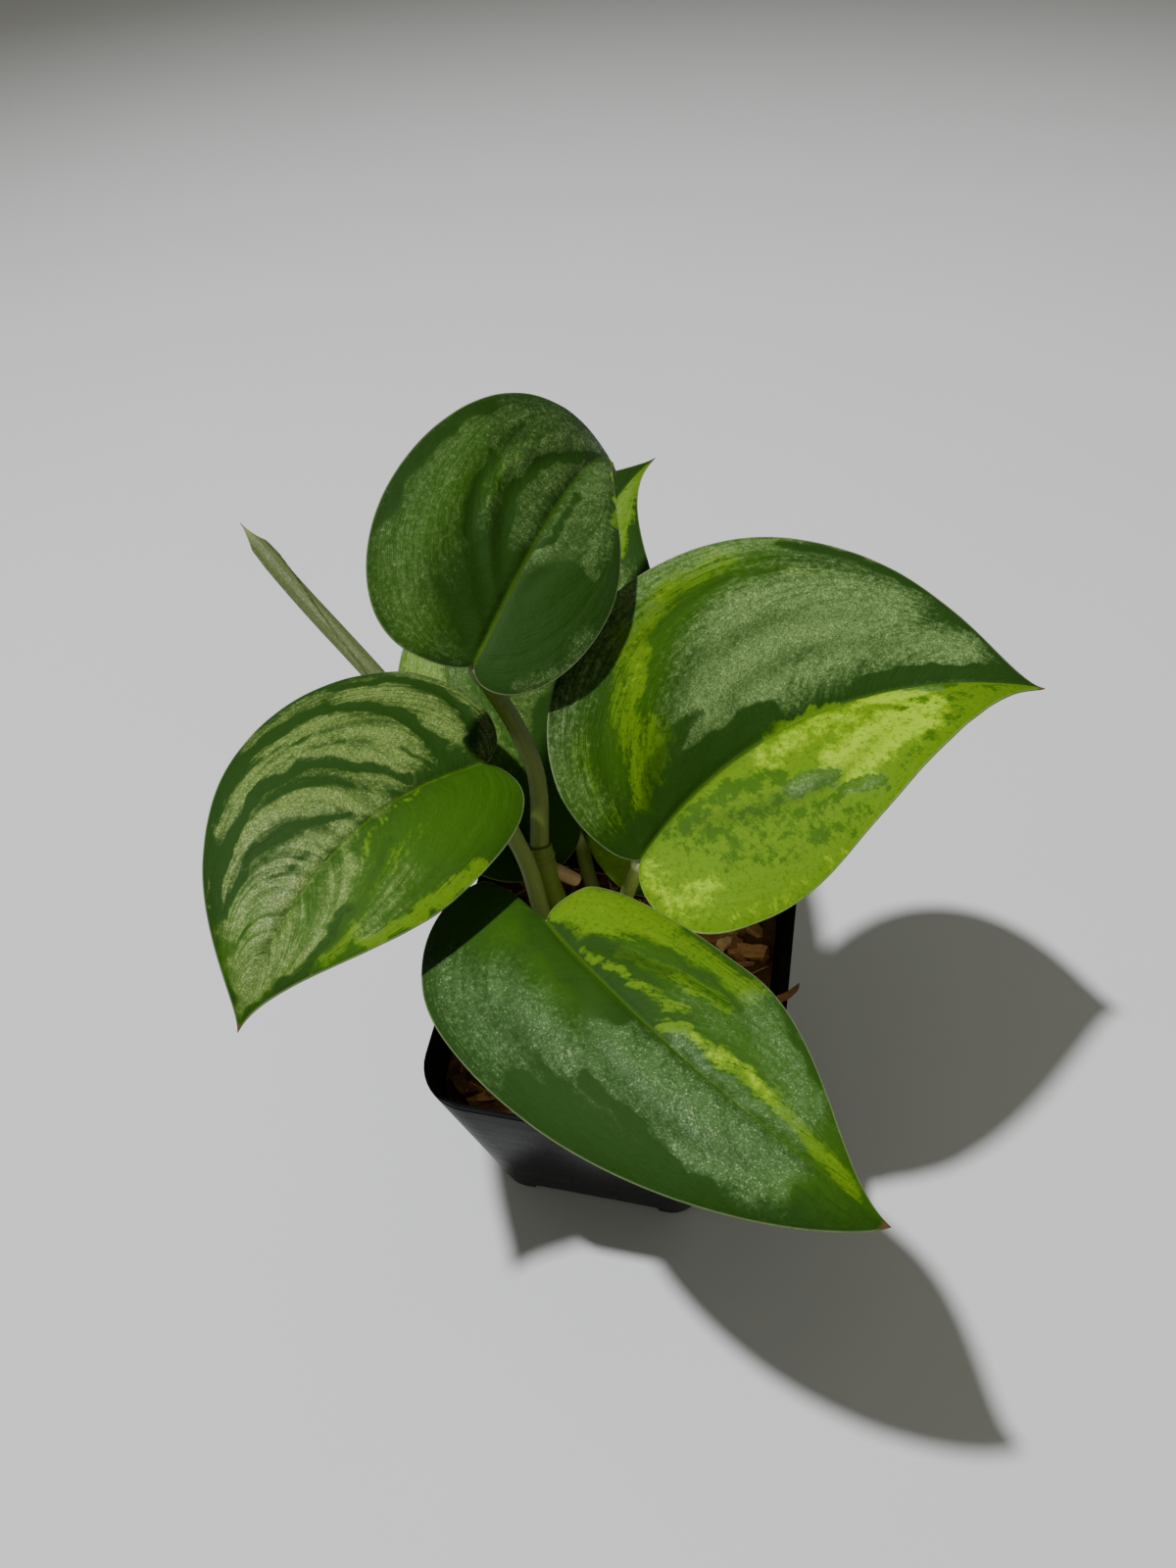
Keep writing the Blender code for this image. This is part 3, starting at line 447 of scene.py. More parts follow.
def mesh_piece(name, vertices, faces, finishes=()):
    """An object at the origin from vertices in millimetres."""
    mesh = bpy.data.meshes.new(name)
    mesh.from_pydata((np.asarray(vertices, float) * MM).tolist(), [], faces)
    mesh.update()
    piece = bpy.data.objects.new(name, mesh)
    bpy.context.scene.collection.objects.link(piece)
    for finish in finishes:
        mesh.materials.append(finish)
    return piece


def add_attribute(piece, name, values):
    layer = piece.data.attributes.new(name, "FLOAT", "POINT")
    layer.data.foreach_set("value", np.asarray(values, np.float32))


def add_uv(piece, name, values):
    """A UV map from one pair of numbers for each vertex."""
    mesh = piece.data
    layer = mesh.uv_layers.new(name=name)
    corners = np.zeros(len(mesh.loops), np.int32)
    mesh.loops.foreach_get("vertex_index", corners)
    layer.data.foreach_set("uv", np.asarray(values, np.float32)[corners].ravel())


def smooth_shade(piece):
    piece.data.shade_smooth()


def smooth_route(points, spans):
    """Points on a smooth curve through the given ones, with spans steps between each two."""
    points = [Vector(p) for p in points]
    padded = [points[0] * 2 - points[1], *points, points[-1] * 2 - points[-2]]
    route = []
    for i in range(1, len(padded) - 2):
        before, start, end, after = padded[i - 1:i + 3]
        for step in range(spans):
            t = step / spans
            route.append(0.5 * ((2 * start) + (end - before) * t
                                + (2 * before - 5 * start + 4 * end - after) * t * t
                                + (3 * start - before - 3 * end + after) * t ** 3))
    route.append(points[-1])
    return route


def spread(values, count):
    """The listed values, spread evenly over count places."""
    places = np.linspace(0, len(values) - 1, count)
    return np.interp(places, range(len(values)), values)


def tube_rings(route, radii, sides, start_normal=None, end_normal=None, section=None):
    """Rings of points round the route. section gives the radius factor at an angle and place along it."""
    tangents = []
    for i in range(len(route)):
        ahead = route[min(i + 1, len(route) - 1)]
        behind = route[max(i - 1, 0)]
        tangents.append((ahead - behind).normalized())
    if start_normal is not None:
        tangents[0] = Vector(start_normal).normalized()
    if end_normal is not None:
        tangents[-1] = Vector(end_normal).normalized()
    side = tangents[0].orthogonal().normalized()
    rings = []
    for i, (point, tangent, radius) in enumerate(zip(route, tangents, radii)):
        side = (side - tangent * side.dot(tangent)).normalized()
        other = tangent.cross(side)
        ring = []
        for k in range(sides):
            angle = 2 * math.pi * k / sides
            reach = radius * (section(angle, i / (len(route) - 1)) if section else 1.0)
            ring.append(tuple(point + (side * math.cos(angle) + other * math.sin(angle)) * reach))
        rings.append(ring)
    return rings


def loft(rings):
    """Vertices and faces of a closed body through rings with equal point counts."""
    sides = len(rings[0])
    vertices = [point for ring in rings for point in ring]
    faces = []
    for row in range(len(rings) - 1):
        for k in range(sides):
            a = row * sides + k
            b = row * sides + (k + 1) % sides
            faces.append((a, b, b + sides, a + sides))
    faces.append(tuple(reversed(range(sides))))
    faces.append(tuple(range(len(vertices) - sides, len(vertices))))
    return vertices, faces


def along_and_around(rings):
    """For each ring point, its distance along the bar in metres and its share of the way round."""
    centres = np.array([np.mean(ring, axis=0) for ring in rings])
    steps = np.linalg.norm(np.diff(centres, axis=0), axis=1)
    along = np.concatenate([[0], np.cumsum(steps)]) * MM
    sides = len(rings[0])
    return [(along[i], k / sides) for i in range(len(rings)) for k in range(sides)]


# Shader helpers

class Finish:
    """Builds one procedural material, node after node."""

    def __init__(self, name):
        self.material = bpy.data.materials.new(name)
        self.material.use_nodes = True
        self.tree = self.material.node_tree
        self.surface = self.tree.nodes["Principled BSDF"]

    def add(self, kind, feeds, **settings):
        node = self.tree.nodes.new(kind)
        for key, value in settings.items():
            setattr(node, key, value)
        for socket, source in feeds.items():
            self.feed(node.inputs[socket], source)
        return node

    def feed(self, socket, source):
        if isinstance(source, bpy.types.NodeSocket):
            self.tree.links.new(source, socket)
        elif socket.type == "RGBA" and len(source) == 3:
            socket.default_value = (*source, 1.0)
        else:
            socket.default_value = source

    def set(self, **feeds):
        for key, source in feeds.items():
            self.feed(self.surface.inputs[key.replace("_", " ")], source)

    def place(self):
        return self.add("ShaderNodeTexCoord", {}).outputs["Object"]

    def uv(self, name):
        return self.add("ShaderNodeUVMap", {}, uv_map=name).outputs["UV"]

    def attribute(self, name):
        return self.add("ShaderNodeAttribute", {}, attribute_name=name).outputs["Fac"]

    def stretch(self, vector, scale):
        return self.add("ShaderNodeMapping", {"Vector": vector, "Scale": scale}).outputs["Vector"]

    def noise(self, vector, scale, detail=2.0, roughness=0.5, distortion=0.0):
        feeds = {"Vector": vector, "Scale": scale, "Detail": detail, "Roughness": roughness,
                 "Distortion": distortion}
        return self.add("ShaderNodeTexNoise", feeds).outputs["Fac"]

    def cells(self, vector, scale, output="Distance"):
        return self.add("ShaderNodeTexVoronoi", {"Vector": vector, "Scale": scale}).outputs[output]

    def math(self, operation, a, b=0.0, clamp=False):
        node = self.add("ShaderNodeMath", {0: a, 1: b}, operation=operation, use_clamp=clamp)
        return node.outputs[0]

    def step(self, value, low, high, to_low=0.0, to_high=1.0):
        """Runs smoothly from to_low to to_high as value goes from low to high."""
        feeds = {"Value": value, "From Min": low, "From Max": high, "To Min": to_low, "To Max": to_high}
        return self.add("ShaderNodeMapRange", feeds, interpolation_type="SMOOTHSTEP").outputs["Result"]

    def mix(self, factor, a, b, blend="MIX"):
        node = self.add("ShaderNodeMix", {}, data_type="RGBA", blend_type=blend)
        self.feed(node.inputs["Factor"], factor)
        self.feed(node.inputs[6], a)
        self.feed(node.inputs[7], b)
        return node.outputs[2]

    def bump(self, height, distance, strength=1.0, normal=None):
        feeds = {"Height": height, "Distance": distance, "Strength": strength}
        if normal is not None:
            feeds["Normal"] = normal
        return self.add("ShaderNodeBump", feeds).outputs["Normal"]


# Leaf blades

def bezier(points, t):
    """Points of a cubic curve in the leaf's own flat plane."""
    a, b, c, d = (np.array(p) for p in points)
    t = np.asarray(t)[:, None]
    return (1 - t) ** 3 * a + 3 * (1 - t) ** 2 * t * b + 3 * (1 - t) * t ** 2 * c + t ** 3 * d


# Outline places where the inner lobe edge ends and where the half is widest, and a round curve's handle share
LOBE_END, WIDEST = 0.18, 0.45
ROUND = 0.55
MIDRIB_STATIONS = 60


def margin(blade, side, t):
    """Flat outline of one half, from the stalk (t = 0) round the lobe to the tip (t = 1)."""
    width = blade.half_width[side]
    lobe = blade.lobe_depth[side]
    centre = blade.lobe_centre[side] * width
    widest = blade.widest_at[side]
    ahead = blade.length - widest
    inner = [(0, 0), (-ROUND * lobe, 0.04 * width), (-lobe, (1 - ROUND) * centre), (-lobe, centre)]
    outer = [(-lobe, centre), (-lobe, centre + ROUND * (width - centre)),
             (widest - ROUND * (widest + lobe), width), (widest, width)]
    tip = [(widest, width), (widest + blade.shoulder[side] * ahead, width),
           (blade.length - blade.tip_reach[side] * ahead, blade.tip_flare[side] * width),
           (blade.length, 0)]
    points = np.zeros((len(t), 2))
    for curve, start, end in ((inner, 0, LOBE_END), (outer, LOBE_END, WIDEST), (tip, WIDEST, 1)):
        inside = (t >= start) & (t <= end)
        points[inside] = bezier(curve, (t[inside] - start) / (end - start))
    if side == RIGHT:
        points[:, 1] *= -1
    return points


def rib_start(blade, t):
    """Where on the midrib the cross line that ends at outline place t begins."""
    return blade.length * (0.12 * t + 0.88 * t ** 1.5)


CREASE_ROUND = 1.0


def bent_surface(blade, x, y):
    """Flat leaf points bent to their real place: along the drooping midrib and over the arched halves."""
    rad = math.radians
    stations = np.linspace(0, blade.length, MIDRIB_STATIONS + 1)
    share = stations / blade.length
    pitch = rad(blade.rise) - rad(blade.droop) * share - rad(blade.tip_curl) * share ** 3
    turn = rad(blade.swerve) * share
    ahead = np.stack([np.cos(pitch) * np.cos(turn), np.cos(pitch) * np.sin(turn), np.sin(pitch)], -1)
    level = np.stack([-np.sin(turn), np.cos(turn), np.zeros_like(turn)], -1)
    upright = np.cross(ahead, level)
    tilt = (rad(blade.roll) + rad(blade.twist) * share)[:, None]
    across = level * np.cos(tilt) + upright * np.sin(tilt)
    normal = upright * np.cos(tilt) - level * np.sin(tilt)
    steps = (ahead[1:] + ahead[:-1]) / 2 * (blade.length / MIDRIB_STATIONS)
    midrib = np.vstack([np.zeros(3), np.cumsum(steps, 0)])

    def along(values):
        held = np.clip(x, 0, blade.length)
        return np.stack([np.interp(held, stations, values[:, k]) for k in range(3)], -1)

    reach = np.sqrt(y ** 2 + CREASE_ROUND ** 2) - CREASE_ROUND
    arch = np.where(y > 0, rad(blade.arch[LEFT]), rad(blade.arch[RIGHT]))
    mean_width = sum(blade.half_width) / 2
    height = math.tan(rad(blade.fold)) * reach - 0.5 * arch * y ** 2 / mean_width
    behind = np.minimum(x, 0)[..., None] * ahead[0]
    points = along(midrib) + behind + along(across) * y[..., None] + along(normal) * height[..., None]
    turn_out = np.array(Matrix.Rotation(rad(blade.heading), 3, "Z"))
    return points @ turn_out.T + np.array(blade.base)


def surface_normals(blade, x, y, step=0.3):
    fore = bent_surface(blade, x + step, y) - bent_surface(blade, x - step, y)
    port = bent_surface(blade, x, y + step) - bent_surface(blade, x, y - step)
    normals = np.cross(fore, port)
    return normals / np.linalg.norm(normals, axis=-1, keepdims=True)


def distance_to_line(x, y, points):
    """Distance of flat points to a smooth line, and the share of the line's length at the nearest place."""
    line = np.array([p[:2] for p in smooth_route([(*p, 0) for p in points], 6)])
    best = np.full(x.shape, np.inf)
    share = np.zeros(x.shape)
    for i in range(len(line) - 1):
        start, step = line[i], line[i + 1] - line[i]
        place = np.clip(((x - start[0]) * step[0] + (y - start[1]) * step[1]) / (step @ step + 1e-9), 0, 1)
        away = np.hypot(x - start[0] - place * step[0], y - start[1] - place * step[1])
        nearer = away < best
        best[nearer] = away[nearer]
        share[nearer] = (i + place[nearer]) / (len(line) - 1)
    return best, share


def soft_edge(distance, width, soft):
    """1 inside the width, running smoothly to 0 at width plus soft."""
    t = np.clip((width + soft - distance) / (2 * soft), 0, 1)
    return t * t * (3 - 2 * t)


def wander(x, y, scale, seed):
    """Smooth noise from -1 to 1 over flat points."""
    flat_x, flat_y = x.ravel() / scale, y.ravel() / scale
    values = [noise.noise(Vector((a, b, seed))) for a, b in zip(flat_x, flat_y)]
    return np.array(values).reshape(x.shape)


def marking_fields(key, x, y, side):
    """Strength of each kind of marking at every flat point."""
    drift_x = x + 1.6 * wander(x, y, 6.0, 3.0) + 0.8 * wander(x, y, 2.2, 5.0)
    drift_y = y + 1.6 * wander(x, y, 6.0, 11.0) + 0.8 * wander(x, y, 2.2, 17.0)
    fields = {kind: np.zeros(x.shape) for kind in ("lime", "silver", "deep", "patch", "yellow", "fresh")}
    for stroke in MARKINGS[key]:
        away, _ = distance_to_line(drift_x, drift_y, stroke.points)
        soft = max(SOFTNESS[stroke.kind] * stroke.width, 0.8)
        reach = soft_edge(away, stroke.width, soft) * stroke.strength
        if stroke.half != BOTH:
            reach = np.where(side == stroke.half, reach, 0)
        fields[stroke.kind] = np.maximum(fields[stroke.kind], reach)
    return fields


def blade_lines(blade, settings):
    """Outline places and shares across for the rows and columns of a blade's mesh."""
    t = np.linspace(0, 1, settings.rows + 2)[1:-1]
    across = np.linspace(0, 1, settings.columns + 1)
    across = np.append(across, 1 - 0.25 / settings.columns)
    return t, np.sort(across)


def leaf_piece(key, blade, settings, finishes):
    """A thin shell with a sunken midrib, arced grooves, a thinner margin and a raised rib underneath."""
    t, shares = blade_lines(blade, settings)
    middle = np.stack([rib_start(blade, t), np.zeros_like(t)], -1)
    ends = {side: margin(blade, side, t) for side in (LEFT, RIGHT)}
    columns = [middle + (ends[RIGHT] - middle) * s for s in shares[:0:-1]]
    columns += [middle + (ends[LEFT] - middle) * s for s in shares]
    side = np.array([RIGHT] * (len(shares) - 1) + [LEFT] * len(shares))
    cross_share = np.concatenate([shares[:0:-1], shares])
    grid = np.stack(columns, 1)
    rows, width = grid.shape[:2]
    x = np.concatenate([[0.0], grid[..., 0].ravel(), [blade.length]])
    y = np.concatenate([[0.0], grid[..., 1].ravel(), [0.0]])
    share = np.concatenate([[0.0], np.tile(cross_share, rows), [1.0]])
    half = np.concatenate([[LEFT], np.tile(side, rows), [LEFT]])
    place = np.concatenate([[0.0], np.repeat(t, width), [1.0]])
    reach = np.concatenate([[0.0], np.linalg.norm(
        grid - np.where(side[None, :, None] == LEFT, ends[LEFT][:, None], ends[RIGHT][:, None]), axis=-1).ravel(),
        [0.0]])

    toward_tip = np.clip(x / blade.length, 0, 1)
    groove = np.zeros(x.shape)
    depth = np.zeros(x.shape)
    for points, groove_width, groove_depth in GROOVES[key]:
        away, along = distance_to_line(x, y, points)
        fade = np.sin(math.pi * np.clip(along, 0.02, 0.98)) ** 0.5
        dip = np.exp(-(away / groove_width) ** 2) * fade
        depth = np.maximum(depth, dip * groove_depth)
        groove = np.maximum(groove, dip)
    flat_share = np.clip(place, 0, 0.985)
    vein = -np.log(1 - flat_share) + np.log(1 - 0.88 * share ** 2.3)
    ripple = 0.5 + 0.5 * np.cos(2 * math.pi * 3.2 * vein)
    depth += 0.10 * ripple ** 3 * np.clip(reach / 6, 0, 1) * (1 - toward_tip ** 4)
    rib_line = np.exp(-(y / 1.1) ** 2) * (1 - toward_tip) ** 0.4
    depth += settings.midrib_depth / MM * rib_line
    height = 0.35 * wander(x, y, 16.0, 41.0) + 0.12 * wander(x, y, 6.0, 53.0) - depth
    height *= np.clip(np.hypot(x, y) / 4, 0.2, 1)

    normals = surface_normals(blade, x, y)
    surface = bent_surface(blade, x, y) + normals * height[:, None]
    half_thickness = settings.thickness / MM / 2 * (0.45 + 0.55 * (1 - np.exp(-reach / 1.5)))
    rib = settings.rib_height / MM * np.exp(-(y / 1.2) ** 2) * (1 - toward_tip) ** 0.7
    top = surface + normals * half_thickness[:, None]
    bottom = surface - normals * (half_thickness + rib)[:, None]
    count = len(x)
    tip = count - 1

    def spot(row, column):
        return 1 + row * width + column

    upper = []
    for column in range(width - 1):
        upper.append((0, spot(0, column), spot(0, column + 1)))
        upper.append((spot(rows - 1, column), tip, spot(rows - 1, column + 1)))
        for row in range(rows - 1):
            upper.append((spot(row, column), spot(row + 1, column), spot(row + 1, column + 1),
                          spot(row, column + 1)))
    lower = [tuple(reversed([corner + count for corner in face])) for face in upper]
    outline = [0, *(spot(row, 0) for row in range(rows)), tip,
               *(spot(row, width - 1) for row in reversed(range(rows)))]
    wall = [(here, here + count, there + count, there)
            for here, there in zip(outline, outline[1:] + outline[:1])]
    faces = upper + lower + wall
    piece = mesh_piece(f"blade_{key}", np.vstack([top, bottom]), faces, finishes)
    shape = bmesh.new()
    shape.from_mesh(piece.data)
    bmesh.ops.recalc_face_normals(shape, faces=shape.faces)
    shape.to_mesh(piece.data)
    shape.free()
    slots = [0] * len(upper) + [1] * len(lower) + [0] * len(wall)
    piece.data.polygons.foreach_set("material_index", slots)
    smooth_shade(piece)

    fields = marking_fields(key, x, y, half)
    for kind, values in fields.items():
        add_attribute(piece, kind, np.tile(values, 2))
    add_attribute(piece, "margin", np.tile(reach, 2))
    add_attribute(piece, "groove", np.tile(np.maximum(groove, 0.8 * rib_line), 2))
    add_attribute(piece, "midrib", np.tile(np.exp(-(y / 0.4) ** 2) * (1 - toward_tip) ** 0.5, 2))
    add_attribute(piece, "tip", np.tile(x - blade.length, 2))
    flat = np.stack([x, y], -1) * MM
    add_uv(piece, "flat", np.tile(flat, (2, 1)))
    distance = np.hypot(x, y) * MM
    veins = np.stack([distance, vein + np.where(half == LEFT, 0.0, 7.0)], -1)
    add_uv(piece, "veins", np.tile(veins, (2, 1)))
    return piece


def leaf_upper_finish(name, settings, satin):
    """Satin upper face: greens, lime and silver in ragged patches that follow the veins."""
    weakest, strongest, tint = satin
    finish = Finish(name)
    flat = finish.uv("flat")
    veins = finish.uv("veins")
    streak = finish.noise(finish.stretch(veins, (60, 10, 1)), 1.0, 4.0, 0.65)
    fine_streak = finish.noise(finish.stretch(veins, (210, 36, 1)), 1.0, 3.0, 0.6)
    fleck = finish.noise(flat, 900, 3.0, 0.65)
    glint = finish.cells(flat, 3800, "Color")
    torn = finish.math("ADD", finish.math("MULTIPLY", streak, 0.9), finish.math("MULTIPLY", fine_streak, 0.7))
    torn = finish.math("ADD", torn, finish.math("MULTIPLY", fleck, 0.8))
    torn = finish.math("SUBTRACT", torn, 1.2)
    frost = finish.math("ADD", finish.math("MULTIPLY", streak, 0.8), finish.math("MULTIPLY", fine_streak, 0.35))
    frost = finish.math("ADD", frost, finish.math("MULTIPLY", fleck, 1.2))
    frost = finish.math("SUBTRACT", frost, 1.18)

    def level(kind, ragged):
        return finish.math("ADD", finish.attribute(kind), finish.math("MULTIPLY", torn, ragged))

    fresh = finish.step(level("fresh", 0.5), 0.0, 1.0)
    green = finish.mix(fresh, settings.deep_green, settings.green)
    cloud = finish.noise(flat, 300, 5.0, 0.75)
    mottle = finish.math("MULTIPLY", finish.math("SUBTRACT", cloud, 0.5), 2.4)
    yellow = finish.step(finish.math("ADD", finish.attribute("yellow"), mottle), 0.40, 1.10)
    lime = finish.mix(yellow, settings.lime, settings.yellow)
    lime = finish.mix(finish.step(fleck, 0.50, 0.68, 0.0, 0.55), lime, settings.green)
    patch = finish.step(finish.math("SUBTRACT", finish.attribute("patch"), mottle), 0.32, 0.62)
    lime_cover = finish.math("MULTIPLY", finish.step(level("lime", 1.4), 0.30, 0.75),
                             finish.math("SUBTRACT", 1.0, finish.math("MULTIPLY", patch, 0.85)))
    base = finish.mix(lime_cover, green, lime)
    deep = finish.step(level("deep", 0.8), 0.15, 0.90)
    base = finish.mix(finish.math("MULTIPLY", deep, 0.9), base, settings.deep_green)
    stripes = finish.noise(finish.stretch(veins, (26, 13, 1)), 1.0, 3.0, 0.6)
    silver = finish.math("MULTIPLY", finish.math("ADD", finish.attribute("silver"), frost),
                         finish.step(stripes, 0.36, 0.6, weakest, strongest))
    drift = finish.add("ShaderNodeTexNoise", {"Vector": flat, "Scale": 160.0, "Detail": 2.0}).outputs["Color"]
    wavy = finish.add("ShaderNodeVectorMath", {0: drift, 1: (0.006, 0.006, 0.0)}, operation="MULTIPLY")
    wavy = finish.add("ShaderNodeVectorMath", {0: wavy.outputs[0], 1: flat}, operation="ADD").outputs[0]
    pebbles = finish.cells(wavy, 360)
    silver = finish.math("MULTIPLY", silver, finish.step(pebbles, 0.1, 0.6, 1.12, 0.82))
    cover = finish.math("SUBTRACT", silver, finish.math("MULTIPLY", deep, 0.8))
    cover = finish.step(cover, 0.10, 0.95)
    grain = finish.step(glint, 0.2, 0.8, 0.40, 0.95)
    base = finish.mix(finish.math("MULTIPLY", cover, grain), base, tint)
    # Painted glints: bright cells of the satin marks take the glint colour in place of real sparkle
    sparkle = finish.math("MULTIPLY", cover, finish.step(glint, 0.76, 0.88, 0.0, 0.45))
    base = finish.mix(sparkle, base, settings.glint)
    # Painted glints: sparse bright specks over the whole upper face
    glint_dots = finish.step(finish.cells(flat, 1500, "Color"), 0.93, 0.95, 0.0, 0.35)
    glint_specks = finish.math("MULTIPLY", glint_dots, finish.step(finish.cells(flat, 1500), 0.16, 0.05))
    base = finish.mix(glint_specks, base, settings.glint)
    # Painted shade: the sunken grooves and the midrib groove are darkened towards the deep green
    base = finish.mix(finish.math("MULTIPLY", finish.attribute("groove"), 0.45), base, settings.deep_green)
    base = finish.mix(finish.math("MULTIPLY", finish.attribute("midrib"), 0.30), base, settings.lime)
    rim = finish.step(finish.attribute("margin"), 0.1, 0.4, 0.5, 0.0)
    base = finish.mix(rim, base, settings.edge)
    dry = finish.step(finish.attribute("tip"), -2.2, -0.8)
    base = finish.mix(dry, base, (0.12, 0.07, 0.03))
    hammered = finish.noise(finish.stretch(veins, (300, 40, 1)), 1.0, 2.0, 0.5)
    satin_gain = finish.math("MULTIPLY", cover, finish.step(glint, 0.2, 0.9, 0.13, 0.32))
    rough = finish.math("SUBTRACT", 0.68, satin_gain)
    normal = finish.bump(hammered, 0.00020, 0.7)
    normal = finish.bump(pebbles, 0.00015, 0.6, normal)
    normal = finish.bump(fleck, 0.00012, 0.7, normal)
    normal = finish.bump(glint, 0.00004, 0.8, normal)
    finish.set(Base_Color=base, Roughness=rough, Normal=normal)
    finish.set(Specular_IOR_Level=0.15)
    return finish.material


def leaf_under_finish(name, settings):
    """Matt paler underside, on which the lime only shows faintly."""
    finish = Finish(name)
    flat = finish.uv("flat")
    veins = finish.uv("veins")
    streak = finish.noise(finish.stretch(veins, (90, 9, 1)), 1.0, 3.0, 0.6)
    fleck = finish.noise(flat, 500, 3.0, 0.6)
    base = finish.mix(finish.step(streak, 0.3, 0.7), settings.under, finish.mix(0.4, settings.under,
                                                                               settings.green))
    lime_level = finish.math("ADD", finish.attribute("lime"), finish.math("SUBTRACT", fleck, 0.5))
    base = finish.mix(finish.math("MULTIPLY", finish.step(lime_level, 0.3, 0.7), 0.6), base, settings.lime)
    base = finish.mix(finish.math("MULTIPLY", finish.attribute("groove"), 0.5), base,
                      finish.mix(0.5, settings.edge, settings.under))
    normal = finish.bump(finish.noise(finish.stretch(veins, (300, 40, 1)), 1.0, 3.0, 0.6), 0.0003, 0.6)
    normal = finish.bump(fleck, 0.00008, 0.5, normal)
    finish.set(Base_Color=base, Roughness=finish.step(fleck, 0.3, 0.7, 0.62, 0.5), Normal=normal)
    return finish.material


class POTHOS_OT_leaves(bpy.types.Operator):
    """Build the five leaf blades with their veins, grooves and markings"""
    bl_idname = "pothos.leaves"
    bl_label = "Leaf Blades"

    def execute(self, context):
        settings = context.scene.pothos_leaf
        for key, blade in BLADES.items():
            finishes = (leaf_upper_finish(f"{key}_leaf_face", settings, SATIN[key]),
                        leaf_under_finish(f"{key}_leaf_underside", settings))
            piece = leaf_piece(key, blade, settings, finishes)
            place_piece(piece, f"leaf_{key}")
        return {"FINISHED"}


# Stem, stalks and the rolled leaf

def stem_axis(node):
    """The stem's place and direction at one of its nodes."""
    here = Vector(STEM_ROUTE[node])
    return here, (Vector(STEM_ROUTE[node + 1]) - Vector(STEM_ROUTE[node - 1])).normalized()


def radial_start(key):
    """A stalk's first point beside a stem node, and the direction in which it leaves."""
    node, towards = RADIAL_START[key]
    here, axis = stem_axis(node)
    out = Vector(towards)
    out = (out - axis * out.dot(axis)).normalized()
    return here + out * (STEM_RADII[node] + GAP), out


def skin_finish(name, colour, tint, spots):
    """Smooth plant skin with faint lengthwise lines and a little mottling."""
    finish = Finish(name)
    grain = finish.uv("grain")
    lines = finish.noise(finish.stretch(grain, (40, 26, 1)), 1.0, 3.0, 0.6)
    mottle = finish.noise(finish.stretch(grain, (350, 6, 1)), 1.0, 3.0, 0.6)
    base = finish.mix(finish.step(lines, 0.3, 0.7), colour, tint)
    base = finish.mix(finish.math("MULTIPLY", finish.step(mottle, 0.55, 0.75), 0.35), base, spots)
    pale = finish.attribute("pale_end")
    base = finish.mix(finish.math("MULTIPLY", pale, 0.55), base, (0.42, 0.46, 0.28))
    dark = finish.attribute("scar")
    base = finish.mix(dark, base, (0.10, 0.075, 0.035))
    normal = finish.bump(lines, 0.00025, 0.6)
    normal = finish.bump(mottle, 0.0001, 0.4, normal)
    finish.set(Base_Color=base, Roughness=finish.step(mottle, 0.3, 0.7, 0.42, 0.56), Normal=normal)
    finish.set(Specular_IOR_Level=0.2)
    return finish.material


def bar_piece(name, rings, finish, pale_end=None, scar=None):
    vertices, faces = loft(rings)
    piece = mesh_piece(name, vertices, faces, (finish,))
    smooth_shade(piece)
    add_uv(piece, "grain", along_and_around(rings))
    count = len(vertices)
    sides = len(rings[0])
    add_attribute(piece, "pale_end", np.repeat(pale_end, sides) if pale_end is not None else np.zeros(count))
    add_attribute(piece, "scar", np.repeat(scar, sides) if scar is not None else np.zeros(count))
    return piece


def blade_foot(blade):
    """The middle of the blade's thickness at its base, and the normal there."""
    normal = surface_normals(blade, np.array([0.8]), np.array([0.0]))[0]
    point = bent_surface(blade, np.array([0.0]), np.array([0.0]))[0]
    return Vector(point), Vector(normal)


class POTHOS_OT_stalks(bpy.types.Operator):
    """Build the five leaf stalks, each running into the rib under its blade"""
    bl_idname = "pothos.stalks"
    bl_label = "Leaf Stalks"

    def execute(self, context):
        settings = context.scene.pothos_stem
        finish = skin_finish("stalk_skin", settings.stalk, tuple(0.82 * c for c in settings.stalk),
                             settings.stem)
        for key, blade in BLADES.items():
            foot, normal = blade_foot(blade)
            points = list(STALK_ROUTES[key])
            start_normal = None
            if key in RADIAL_START:
                start, start_normal = radial_start(key)
                points.insert(0, tuple(start - start_normal * (GAP + 1.2)))
            elif key == "top":
                end = Vector(STEM_ROUTE[-1])
                start_normal = (end - Vector(STEM_ROUTE[-2])).normalized()
                points.insert(0, tuple(end - start_normal * GAP))
            seat = foot - normal * 0.7
            route = smooth_route([*points, tuple(seat)], 10)
            share = np.linspace(0, 1, len(route))
            lower, upper = STALK_RADII[key]
            radii = lower + (upper - lower) * share
            radii = radii * (1 + 0.12 * np.exp(-((share - 0.93) / 0.06) ** 2))
            radii[-3:] *= (0.97, 0.88, 0.6)
            rings = tube_rings(route, radii, settings.sides, start_normal, normal,
                               lambda angle, place: 1 - 0.07 * math.exp(-((angle - 2.2) / 0.5) ** 2))
            pale = np.clip((share - 0.86) / 0.14, 0, 1)
            piece = bar_piece(f"leaf_stalk_{key}", rings, finish, pale)
            place_piece(piece, f"stalk_{key}")
        return {"FINISHED"}


